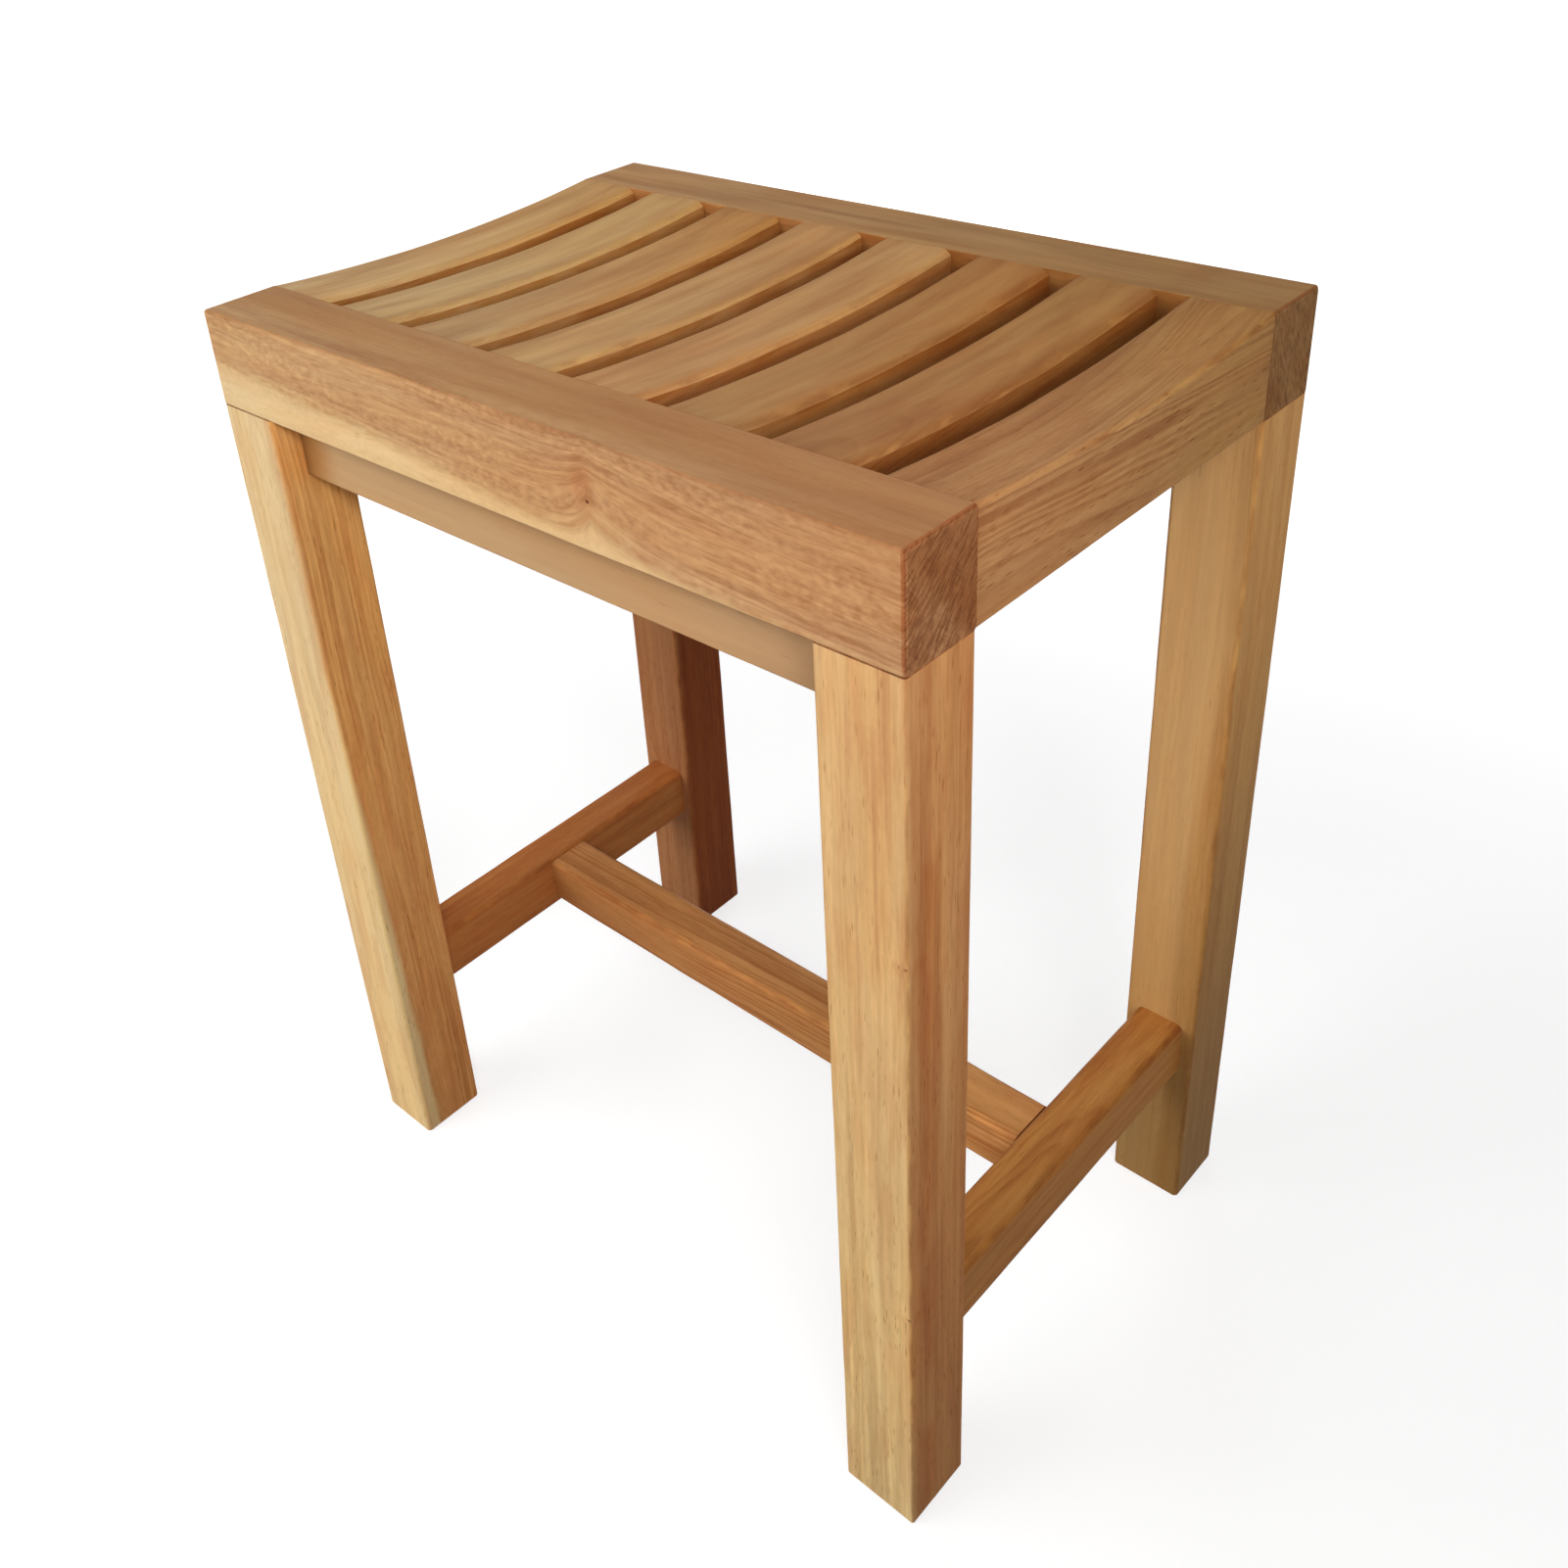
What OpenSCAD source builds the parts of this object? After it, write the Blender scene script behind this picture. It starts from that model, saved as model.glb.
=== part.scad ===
// Teak shower bench: a slatted seat, dished from front to back, on four straight legs.
// X runs along the long rails, Y from front to back and Z up. The origin is on the floor,
// under the middle of the seat. All sizes are in millimetres.

/* [Overall] */
// Length of the bench along its long rails
bench_length = 350; // [300:5:600]
// Depth of the bench from front to back
bench_depth = 245; // [220:5:360]
// Height of the long rails' tops above the floor
seat_height = 450; // [350:5:520]

/* [Seat frame] */
// Height of the long rails and of the end rails
rail_height = 41; // [38:1:55]
// Width of a long rail, front to back
rail_width = 34; // [30:1:44]
// Width of an end rail, along the bench
end_rail_width = 34; // [28:1:44]

/* [Slats] */
// Width of one slat
slat_width = 34; // [26:1:38]
// Thickness of a slat at its ends
slat_thickness = 18; // [15:1:24]
// How far the slats and end rails dip at the middle of the seat
dish_depth = 4.5; // [2:0.5:6]

/* [Legs] */
// Size of a leg along the bench
leg_width = 34; // [30:1:44]
// Size of a leg from front to back
leg_depth = 34; // [30:1:44]

/* [Aprons] */
// Height of an apron
apron_height = 28; // [24:1:45]
// Thickness of an apron, front to back
apron_thickness = 18; // [14:1:20]
// How far an apron stands back from the legs' outer faces
apron_setback = 12; // [2:1:14]

/* [Stretchers] */
// Height of the end stretchers' undersides above the floor
stretcher_clearance = 80; // [40:5:160]
// Height of an end stretcher
end_stretcher_height = 30; // [26:1:45]
// Width of an end stretcher, along the bench
end_stretcher_width = 22; // [18:1:28]
// Height of the centre stretcher
centre_stretcher_height = 25; // [18:1:29]
// Width of the centre stretcher, front to back
centre_stretcher_width = 25; // [22:1:45]
// How far the centre stretcher's top lies below the end stretchers' tops
centre_stretcher_drop = 1; // [0:0.5:5]

/* [Edges] */
// Radius of the outer edges of the rails and legs
frame_edge_radius = 2; // [1:0.5:3]
// Radius of the top edges beside the drain slots
slot_edge_radius = 3; // [1:0.5:4]
// Radius of the undersides' long edges, and of the legs' feet
under_edge_radius = 1; // [0.5:0.5:2]
// Radius of the stretchers' long edges
stretcher_edge_radius = 3; // [1:0.5:5]

/* [Dowels] */
// Diameter of the upright dowels at the tops of the legs
leg_dowel_diameter = 10; // [8:1:12]
// How deep a leg dowel goes down into its leg
leg_dowel_sink = 20; // [15:1:30]
// Distance from a leg's outer end face to its dowels' axes
leg_dowel_inset = 11; // [9:1:12]
// Distance between the two dowels of one leg
leg_dowel_spacing = 16; // [14:1:16]
// Diameter of all the other dowels
dowel_diameter = 8; // [6:1:8]
// How deep a slat dowel goes into the slat, and into the rail
slat_dowel_reach = 15; // [10:1:22]
// Distance between the two dowels at one end of a slat
slat_dowel_spacing = 16; // [11:1:16]
// How deep an end rail dowel goes into the end rail, and into the long rail
end_rail_dowel_reach = 18; // [12:1:22]
// Depth of the end rail dowels' axes below the top of the seat
end_rail_dowel_drop = 13; // [11:1:14]
// Distance between the two dowels at one end of an end rail
end_rail_dowel_spacing = 16; // [12:1:18]
// How deep an apron dowel goes into the apron
apron_dowel_reach = 14; // [10:1:30]
// Distance between the two dowels at one end of an apron
apron_dowel_spacing = 12; // [10:1:14]
// How deep an end stretcher dowel goes into the stretcher, and into the leg
end_stretcher_dowel_reach = 18; // [10:1:24]
// Distance between the two dowels at one end of an end stretcher
end_stretcher_dowel_spacing = 13; // [11:1:14]
// How deep a centre stretcher dowel goes into either stretcher
centre_stretcher_dowel_reach = 14; // [8:1:15]
// Distance between the two dowels at one end of the centre stretcher
centre_stretcher_dowel_spacing = 12; // [10:1:12]
// Wood left between dowels that come near each other inside a leg or a rail
dowel_wall = 4; // [2:0.5:5]
// Gap between a dowel and the wall of its hole
dowel_clearance = 0.1; // [0.05:0.05:0.2]
// Gap between a dowel's end and the bottom of its hole
dowel_end_gap = 0.5; // [0.2:0.1:0.8]
// Length of the chamfer on a dowel's ends
dowel_chamfer = 1; // [0.5:0.5:2]

/* [Hidden] */

slat_count = 6;
edge_facets = 48;
dowel_facets = 48;
dish_facets = 720;
// A cut starts this far outside the face it goes through
overcut = 5;

left = -1;
right = 1;
front = -1;
rear = 1;

// Seat frame
rail_underside = seat_height - rail_height;
rail_inner_y = bench_depth / 2 - rail_width;
slat_length = 2 * rail_inner_y;
end_rail_x = bench_length / 2 - end_rail_width / 2;

// Slats: the gaps share what the end rails and the slats leave
slats_span = bench_length - 2 * end_rail_width;
slot_width = (slats_span - slat_count * slat_width) / (slat_count + 1);
slat_pitch = slat_width + slot_width;

// Dish: an arc through the rails' inner top edges and the seat's lowest line
dish_radius = (pow(rail_inner_y, 2) + pow(dish_depth, 2)) / (2 * dish_depth);
dish_axis_z = seat_height - dish_depth + dish_radius;

// Legs
leg_x = bench_length / 2 - leg_width / 2;
leg_y = bench_depth / 2 - leg_depth / 2;
leg_inner_x = bench_length / 2 - leg_width;
leg_inner_y = bench_depth / 2 - leg_depth;

// Aprons
apron_y = bench_depth / 2 - apron_setback - apron_thickness / 2;
apron_z = rail_underside - apron_height / 2;

// Stretchers
end_stretcher_top = stretcher_clearance + end_stretcher_height;
end_stretcher_z = stretcher_clearance + end_stretcher_height / 2;
end_stretcher_inner_x = leg_x - end_stretcher_width / 2;
centre_stretcher_z = end_stretcher_top - centre_stretcher_drop - centre_stretcher_height / 2;

// Dowels
slat_dowel_z = seat_height - slat_thickness / 2;
end_rail_dowel_z = seat_height - end_rail_dowel_drop;
leg_dowel_x = bench_length / 2 - leg_dowel_inset;
leg_dowel_rise = end_rail_dowel_z - dowel_diameter / 2 - dowel_wall - rail_underside;
apron_dowel_sink = leg_dowel_x - leg_dowel_diameter / 2 - dowel_wall - leg_inner_x;

// Colours of the timber as it is seen in daylight
rail_teak = [0.73, 0.51, 0.32];
slat_teak = [0.76, 0.57, 0.37];
leg_teak = [0.82, 0.63, 0.38];
apron_teak = [0.75, 0.56, 0.33];
stretcher_teak = [0.62, 0.39, 0.21];
dowel_beech = [0.86, 0.74, 0.55];

function slat_x(i) = (i - (slat_count + 1) / 2) * slat_pitch;

// ---- Shared shapes ----

// Rectangle from the origin. Its corners' radii go round from the origin's corner:
// [low x and low y, high x and low y, high x and high y, low x and high y].
module eased_rectangle(size, radii) {
    difference() {
        square(size);
        corner_waste(radii[0]);
        translate([size.x, 0]) mirror([1, 0]) corner_waste(radii[1]);
        translate([size.x, size.y]) rotate(180) corner_waste(radii[2]);
        translate([0, size.y]) mirror([0, 1]) corner_waste(radii[3]);
    }
}

// What rounding takes off a corner that lies at the origin
module corner_waste(radius) {
    if (radius > 0)
        difference() {
            translate([-overcut, -overcut]) square(radius + overcut);
            translate([radius, radius]) circle(radius, $fn = edge_facets);
        }
}

// Bar from the origin with eased edges: the radii are those of the edges along X, Y and Z,
// each list in eased_rectangle's order for the outline seen along that axis.
module eased_bar(size, x_edges = [0, 0, 0, 0], y_edges = [0, 0, 0, 0], z_edges = [0, 0, 0, 0]) {
    intersection() {
        rotate([90, 0, 90]) linear_extrude(size.x) eased_rectangle([size.y, size.z], x_edges);
        translate([0, size.y, 0]) rotate([90, 0, 0])
            linear_extrude(size.y) eased_rectangle([size.x, size.z], y_edges);
        linear_extrude(size.z) eased_rectangle([size.x, size.y], z_edges);
    }
}

// Everything below the seat's arc, centred on x = 0, with eased edges on the left and right
module below_dish(width, height, left_radius, right_radius) {
    translate([width / 2, 0, dish_axis_z]) rotate([0, -90, 0])
        rotate_extrude($fn = dish_facets) translate([dish_radius, 0])
            eased_rectangle([height + dish_depth + overcut, width], [right_radius, 0, 0, left_radius]);
}

// Bar between the long rails, centred on x = 0, with the seat's arc for its top
module dished_bar(width, height, left_radius, right_radius) {
    under = under_edge_radius;
    intersection() {
        below_dish(width, height, left_radius, right_radius);
        translate([-width / 2, -rail_inner_y, seat_height - height])
            eased_bar([width, slat_length, height + overcut], y_edges = [under, under, 0, 0]);
    }
}

// Dowel along Z, from sink below the joint's plane to rise above it
module dowel(diameter, sink, rise) {
    r = diameter / 2;
    c = dowel_chamfer;
    translate([0, 0, -sink])
        rotate_extrude($fn = dowel_facets)
            polygon([[0, 0], [r - c, 0], [r, c], [r, sink + rise - c], [r - c, sink + rise], [0, sink + rise]]);
}

// Hole for that dowel, on both sides of the joint's plane
module dowel_hole(diameter, sink, rise) {
    translate([0, 0, -sink - dowel_end_gap])
        cylinder(d = diameter + 2 * dowel_clearance, h = sink + rise + 2 * dowel_end_gap, $fn = dowel_facets);
}

// ---- Where the dowels sit: each module puts its children on the joint's plane, ----
// ---- with Z pointing outwards into the long rail, the leg or the end stretcher ----

module at_slat_dowels(i, side) {
    for (k = [-0.5, 0.5])
        translate([slat_x(i) + k * slat_dowel_spacing, side * rail_inner_y, slat_dowel_z])
            rotate([-side * 90, 0, 0]) children();
}

module at_end_rail_dowels(end, side) {
    for (k = [-0.5, 0.5])
        translate([end * end_rail_x + k * end_rail_dowel_spacing, side * rail_inner_y, end_rail_dowel_z])
            rotate([-side * 90, 0, 0]) children();
}

module at_leg_dowels(end, side) {
    for (k = [-0.5, 0.5])
        translate([end * leg_dowel_x, side * leg_y + k * leg_dowel_spacing, rail_underside]) children();
}

module at_apron_dowels(end, side) {
    for (k = [-0.5, 0.5])
        translate([end * leg_inner_x, side * apron_y, apron_z + k * apron_dowel_spacing])
            rotate([0, end * 90, 0]) children();
}

module at_end_stretcher_dowels(end, side) {
    for (k = [-0.5, 0.5])
        translate([end * leg_x, side * leg_inner_y, end_stretcher_z + k * end_stretcher_dowel_spacing])
            rotate([-side * 90, 0, 0]) children();
}

module at_centre_stretcher_dowels(end) {
    for (k = [-0.5, 0.5])
        translate([end * end_stretcher_inner_x, k * centre_stretcher_dowel_spacing, centre_stretcher_z])
            rotate([0, end * 90, 0]) children();
}

// ---- Holes, each from the same values as its dowel ----

module slat_dowel_hole() {
    dowel_hole(dowel_diameter, slat_dowel_reach, slat_dowel_reach);
}

module end_rail_dowel_hole() {
    dowel_hole(dowel_diameter, end_rail_dowel_reach, end_rail_dowel_reach);
}

module leg_dowel_hole() {
    dowel_hole(leg_dowel_diameter, leg_dowel_sink, leg_dowel_rise);
}

module apron_dowel_hole() {
    dowel_hole(dowel_diameter, apron_dowel_reach, apron_dowel_sink);
}

module end_stretcher_dowel_hole() {
    dowel_hole(dowel_diameter, end_stretcher_dowel_reach, end_stretcher_dowel_reach);
}

module centre_stretcher_dowel_hole() {
    dowel_hole(dowel_diameter, centre_stretcher_dowel_reach, centre_stretcher_dowel_reach);
}

// ---- Seat frame ----

// Front rail. Its outer, top and end edges are rounded; what butts against a slat stays crisp.
module long_rail() {
    edge = frame_edge_radius;
    under = under_edge_radius;
    difference() {
        translate([-bench_length / 2, -bench_depth / 2, rail_underside])
            eased_bar([bench_length, rail_width, rail_height],
                x_edges = [under, under, 0, edge], y_edges = [0, 0, edge, edge], z_edges = [edge, edge, 0, 0]);
        for (i = [1:slat_count]) at_slat_dowels(i, front) slat_dowel_hole();
        for (end = [left, right]) {
            at_end_rail_dowels(end, front) end_rail_dowel_hole();
            at_leg_dowels(end, front) leg_dowel_hole();
        }
    }
}

module front_rail() {
    color(rail_teak) long_rail();
}

module rear_rail() {
    color(rail_teak) mirror([0, 1, 0]) long_rail();
}

module end_rail() {
    difference() {
        translate([end_rail_x, 0, 0])
            dished_bar(end_rail_width, rail_height, slot_edge_radius, frame_edge_radius);
        for (side = [front, rear]) at_end_rail_dowels(right, side) end_rail_dowel_hole();
    }
}

module right_end_rail() {
    color(rail_teak) end_rail();
}

module left_end_rail() {
    color(rail_teak) mirror([1, 0, 0]) end_rail();
}

module slat(i) {
    color(slat_teak) difference() {
        translate([slat_x(i), 0, 0])
            dished_bar(slat_width, slat_thickness, slot_edge_radius, slot_edge_radius);
        for (side = [front, rear]) at_slat_dowels(i, side) slat_dowel_hole();
    }
}

// ---- Legs and aprons ----

module leg(end, side) {
    edge = frame_edge_radius;
    foot = [under_edge_radius, under_edge_radius, 0, 0];
    color(leg_teak) difference() {
        translate([end * leg_x - leg_width / 2, side * leg_y - leg_depth / 2, 0])
            eased_bar([leg_width, leg_depth, rail_underside],
                x_edges = foot, y_edges = foot, z_edges = [edge, edge, edge, edge]);
        at_leg_dowels(end, side) leg_dowel_hole();
        at_apron_dowels(end, side) apron_dowel_hole();
        at_end_stretcher_dowels(end, side) end_stretcher_dowel_hole();
    }
}

module apron(side) {
    under = under_edge_radius;
    color(apron_teak) difference() {
        translate([-leg_inner_x, side * apron_y - apron_thickness / 2, rail_underside - apron_height])
            eased_bar([2 * leg_inner_x, apron_thickness, apron_height], x_edges = [under, under, 0, 0]);
        for (end = [left, right]) at_apron_dowels(end, side) apron_dowel_hole();
    }
}

// ---- Stretchers ----

module end_stretcher(end) {
    edge = stretcher_edge_radius;
    color(stretcher_teak) difference() {
        translate([end * leg_x - end_stretcher_width / 2, -leg_inner_y, stretcher_clearance])
            eased_bar([end_stretcher_width, 2 * leg_inner_y, end_stretcher_height],
                y_edges = [edge, edge, edge, edge]);
        for (side = [front, rear]) at_end_stretcher_dowels(end, side) end_stretcher_dowel_hole();
        at_centre_stretcher_dowels(end) centre_stretcher_dowel_hole();
    }
}

module centre_stretcher() {
    edge = stretcher_edge_radius;
    color(stretcher_teak) difference() {
        translate([-end_stretcher_inner_x, -centre_stretcher_width / 2,
                centre_stretcher_z - centre_stretcher_height / 2])
            eased_bar([2 * end_stretcher_inner_x, centre_stretcher_width, centre_stretcher_height],
                x_edges = [edge, edge, edge, edge]);
        for (end = [left, right]) at_centre_stretcher_dowels(end) centre_stretcher_dowel_hole();
    }
}

// ---- Dowels ----

module slat_dowels() {
    color(dowel_beech) for (i = [1:slat_count], side = [front, rear])
        at_slat_dowels(i, side) dowel(dowel_diameter, slat_dowel_reach, slat_dowel_reach);
}

module end_rail_dowels() {
    color(dowel_beech) for (end = [left, right], side = [front, rear])
        at_end_rail_dowels(end, side) dowel(dowel_diameter, end_rail_dowel_reach, end_rail_dowel_reach);
}

module leg_dowels() {
    color(dowel_beech) for (end = [left, right], side = [front, rear])
        at_leg_dowels(end, side) dowel(leg_dowel_diameter, leg_dowel_sink, leg_dowel_rise);
}

module apron_dowels() {
    color(dowel_beech) for (end = [left, right], side = [front, rear])
        at_apron_dowels(end, side) dowel(dowel_diameter, apron_dowel_reach, apron_dowel_sink);
}

module end_stretcher_dowels() {
    color(dowel_beech) for (end = [left, right], side = [front, rear])
        at_end_stretcher_dowels(end, side)
            dowel(dowel_diameter, end_stretcher_dowel_reach, end_stretcher_dowel_reach);
}

module centre_stretcher_dowels() {
    color(dowel_beech) for (end = [left, right])
        at_centre_stretcher_dowels(end)
            dowel(dowel_diameter, centre_stretcher_dowel_reach, centre_stretcher_dowel_reach);
}

front_rail();
rear_rail();
left_end_rail();
right_end_rail();
slat(1);  // slat_1
slat(2);  // slat_2
slat(3);  // slat_3
slat(4);  // slat_4
slat(5);  // slat_5
slat(6);  // slat_6
leg(left, front);  // front_left_leg
leg(right, front);  // front_right_leg
leg(left, rear);  // rear_left_leg
leg(right, rear);  // rear_right_leg
apron(front);  // front_apron
apron(rear);  // rear_apron
end_stretcher(left);  // left_stretcher
end_stretcher(right);  // right_stretcher
centre_stretcher();
slat_dowels();
end_rail_dowels();
leg_dowels();
apron_dowels();
end_stretcher_dowels();
centre_stretcher_dowels();
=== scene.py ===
"""Teak shower bench: eased timber, fluted dowels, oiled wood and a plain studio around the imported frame."""
import logging
import math
from dataclasses import dataclass, field
from enum import Enum
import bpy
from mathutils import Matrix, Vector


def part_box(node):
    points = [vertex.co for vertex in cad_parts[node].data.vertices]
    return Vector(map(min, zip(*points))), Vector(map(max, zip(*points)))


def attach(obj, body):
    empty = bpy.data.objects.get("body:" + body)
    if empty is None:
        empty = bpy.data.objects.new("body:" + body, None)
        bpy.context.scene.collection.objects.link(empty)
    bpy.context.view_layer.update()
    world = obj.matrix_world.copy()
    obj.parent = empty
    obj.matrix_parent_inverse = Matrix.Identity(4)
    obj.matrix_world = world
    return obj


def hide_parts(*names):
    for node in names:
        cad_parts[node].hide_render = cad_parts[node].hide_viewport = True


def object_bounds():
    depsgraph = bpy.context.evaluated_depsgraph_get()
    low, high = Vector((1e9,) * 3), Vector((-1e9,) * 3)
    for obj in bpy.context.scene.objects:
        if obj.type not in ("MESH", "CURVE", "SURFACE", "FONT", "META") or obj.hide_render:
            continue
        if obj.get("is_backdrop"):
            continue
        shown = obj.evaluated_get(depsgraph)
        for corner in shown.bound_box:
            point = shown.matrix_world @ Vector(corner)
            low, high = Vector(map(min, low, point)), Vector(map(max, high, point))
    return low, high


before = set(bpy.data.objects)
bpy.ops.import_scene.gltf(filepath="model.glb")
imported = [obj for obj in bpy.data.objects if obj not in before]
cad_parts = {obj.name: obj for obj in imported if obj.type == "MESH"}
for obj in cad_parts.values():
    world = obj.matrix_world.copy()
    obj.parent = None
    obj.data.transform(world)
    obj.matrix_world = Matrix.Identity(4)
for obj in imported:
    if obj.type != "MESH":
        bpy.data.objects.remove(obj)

from types import SimpleNamespace as Ports
from typing import Iterable, Sequence

import bmesh
import bpy
from mathutils import Matrix, Vector, noise

log = logging.getLogger("shower_bench")

MM = 0.001
BODY = "root"
IMAGE_SIDE = 1601.0
SENSOR_MM = 36.0
QUARTER_TURN = math.pi / 2
WHITE = (1.0, 1.0, 1.0)
MASKS = ("arris", "joint", "sawn")

Socket = bpy.types.NodeSocket
Material = bpy.types.Material
Shape = bmesh.types.BMesh
Ring = list[bmesh.types.BMVert]
Value = Socket | float | tuple[float, ...]
Colour = tuple[float, float, float]
Box = tuple[Vector, Vector]


def day(red: int, green: int, blue: int) -> Colour:
    """Turns a colour as it looks in daylight into the linear values that a shader takes.

    Args:
        red, green, blue: the three channels, each from 0 to 255.

    Returns:
        The same colour as three linear values from 0 to 1.
    """
    def linear(channel: int) -> float:
        """Returns one channel as a linear value."""
        c = channel / 255
        return c / 12.92 if c <= 0.04045 else ((c + 0.055) / 1.055) ** 2.4
    return linear(red), linear(green), linear(blue)


def stand(name: str, data: bpy.types.ID) -> bpy.types.Object:
    """Puts a new object in the scene.

    Args:
        name: the object's name.
        data: its mesh, lamp or camera.

    Returns:
        The new object.
    """
    thing = bpy.data.objects.new(name, data)
    bpy.context.scene.collection.objects.link(thing)
    return thing


def finished(shape: Shape, name: str) -> bpy.types.Mesh:
    """Turns a shape into a mesh and frees the shape.

    Args:
        shape: the shape to turn.
        name: the mesh's name.

    Returns:
        The new mesh.
    """
    mesh = bpy.data.meshes.new(name)
    shape.to_mesh(mesh)
    shape.free()
    return mesh


def skin(shape: Shape, rings: list[Ring]) -> None:
    """Joins a row of rings of points into one closed skin.

    Args:
        shape: the mesh that holds the points.
        rings: the rings in order, each with the same number of points.
    """
    count = len(rings[0])
    for first, second in zip(rings, rings[1:]):
        for index in range(count):
            after = (index + 1) % count
            shape.faces.new((first[index], first[after], second[after], second[index]))
    shape.faces.new(rings[0])
    shape.faces.new(rings[-1])


# ---- Shader nodes ----

class Wiring:
    """Adds nodes to one tree and links them, so that a material reads as a list of steps."""

    def __init__(self, tree: bpy.types.NodeTree) -> None:
        """Keeps the tree that the nodes go into."""
        self.tree = tree

    @classmethod
    def fresh(cls, owner: Material | bpy.types.World) -> "Wiring":
        """Empties the tree of a material or a world.

        Args:
            owner: the material or the world.

        Returns:
            The wiring of its tree.
        """
        owner.use_nodes = True
        owner.node_tree.nodes.clear()
        return cls(owner.node_tree)

    def put(self, socket: Socket, value: Value) -> None:
        """Links a socket to another one, or gives it a plain value.

        Args:
            socket: the input to fill.
            value: another node's output, a number, or a tuple of numbers.
        """
        if isinstance(value, Socket):
            self.tree.links.new(value, socket)
        elif isinstance(value, tuple) and len(value) == 3 and socket.type == "RGBA":
            socket.default_value = (*value, 1.0)
        else:
            socket.default_value = value

    def add(self, kind: str, inputs: dict[str | int, Value] | None = None, **settings: object) -> bpy.types.Node:
        """Adds one node.

        Args:
            kind: the node's type name, without its common first part.
            inputs: what goes into its sockets, by name or number.
            settings: the node's own properties.

        Returns:
            The new node.
        """
        node = self.tree.nodes.new(f"ShaderNode{kind}")
        for name, value in settings.items():
            setattr(node, name, value)
        for key, value in (inputs or {}).items():
            self.put(node.inputs[key], value)
        return node

    def math(self, operation: str, *values: Value, clamp: bool = False) -> Socket:
        """Returns the result of one Math node over the values."""
        return self.add("Math", dict(enumerate(values)), operation=operation, use_clamp=clamp).outputs[0]

    def times(self, first: Value, second: Value) -> Socket:
        """Returns one value times another."""
        return self.math("MULTIPLY", first, second)

    def over(self, first: Value, second: Value) -> Socket:
        """Returns one value divided by another."""
        return self.math("DIVIDE", first, second)

    def minus(self, first: Value, second: Value) -> Socket:
        """Returns one value less another."""
        return self.math("SUBTRACT", first, second)

    def weighed(self, total: Value, *parts: tuple[Value, Value]) -> Socket:
        """Adds parts to a total, each as often as its weight says.

        Args:
            total: what the parts are added to.
            parts: each part with its weight.

        Returns:
            The sum.
        """
        for part, weight in parts:
            total = self.math("MULTIPLY_ADD", part, weight, total)
        return total

    def vector(self, operation: str, *values: Value) -> Socket:
        """Returns the vector result of one Vector Math node over the values."""
        return self.add("VectorMath", dict(enumerate(values)), operation=operation).outputs["Vector"]

    def measure(self, operation: str, *values: Value) -> Socket:
        """Returns the number that one Vector Math node finds."""
        return self.add("VectorMath", dict(enumerate(values)), operation=operation).outputs["Value"]

    def scaled(self, vector: Value, by: Value) -> Socket:
        """Returns a vector times a number."""
        return self.add("VectorMath", {0: vector, "Scale": by}, operation="SCALE").outputs["Vector"]

    def split(self, vector: Value) -> Sequence[Socket]:
        """Returns a vector's x, y and z."""
        return self.add("SeparateXYZ", {0: vector}).outputs

    def join(self, *values: Value) -> Socket:
        """Returns a vector made of its x, y and z."""
        return self.add("CombineXYZ", dict(enumerate(values))).outputs[0]

    def ease(self, value: Value, start: Value, end: Value, low: float = 0.0, high: float = 1.0) -> Socket:
        """Maps a value smoothly from one range to another, and holds it at the ends.

        Args:
            value: what is mapped.
            start, end: the range it comes from.
            low, high: the range it goes to.

        Returns:
            The mapped value.
        """
        inputs = {"Value": value, "From Min": start, "From Max": end, "To Min": low, "To Max": high}
        return self.add("MapRange", inputs, interpolation_type="SMOOTHSTEP").outputs["Result"]

    def fade(self, value: Value, start: Value, end: Value) -> Socket:
        """Falls smoothly from 1 to 0 over a range."""
        return self.ease(value, start, end, 1.0, 0.0)

    def blend(self, factor: Value, first: Value, second: Value, mode: str = "MIX") -> Socket:
        """Mixes two colours.

        Args:
            factor: how far the second colour goes.
            first, second: the colours.
            mode: how they are mixed.

        Returns:
            The mixed colour.
        """
        node = self.add("Mix", data_type="RGBA", blend_type=mode, clamp_factor=True)
        for key, value in ((0, factor), (6, first), (7, second)):
            self.put(node.inputs[key], value)
        return node.outputs[2]

    def tinted(self, colour: Value, *layers: tuple[Value, Value]) -> Socket:
        """Multiplies a colour by each layer's tint in turn, as far as the layer's share says.

        Args:
            colour: the colour to start from.
            layers: each layer's share and tint.

        Returns:
            The tinted colour.
        """
        for share, tint in layers:
            colour = self.blend(share, colour, tint, "MULTIPLY")
        return colour

    def surface(self, colour: Value, roughness: Value, height: Value, strength: float, depth: float,
                **coat: Value) -> None:
        """Gives a material its surface, with a fine relief.

        Args:
            colour, roughness: what shows at each point.
            height: the relief, from about -1 to 1.
            strength: how far the relief bends the light.
            depth: how deep it is, in millimetres.
            coat: the shader's other inputs; an underscore stands for a space.
        """
        bump = self.add("Bump", {"Strength": strength, "Distance": depth * MM, "Height": height})
        shader = self.add("BsdfPrincipled", {
            "Base Color": colour, "Roughness": roughness, "Normal": bump.outputs["Normal"],
            **{name.replace("_", " "): value for name, value in coat.items()},
        })
        self.add("OutputMaterial", {"Surface": shader.outputs["BSDF"]})

    def millimetres(self, middle: Value = (0.0, 0.0, 0.0)) -> Socket:
        """Returns the point's place from a middle given in metres."""
        spot = self.vector("SUBTRACT", self.add("TexCoord").outputs["Object"], middle)
        return self.vector("MULTIPLY", spot, (1 / MM,) * 3)

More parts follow.
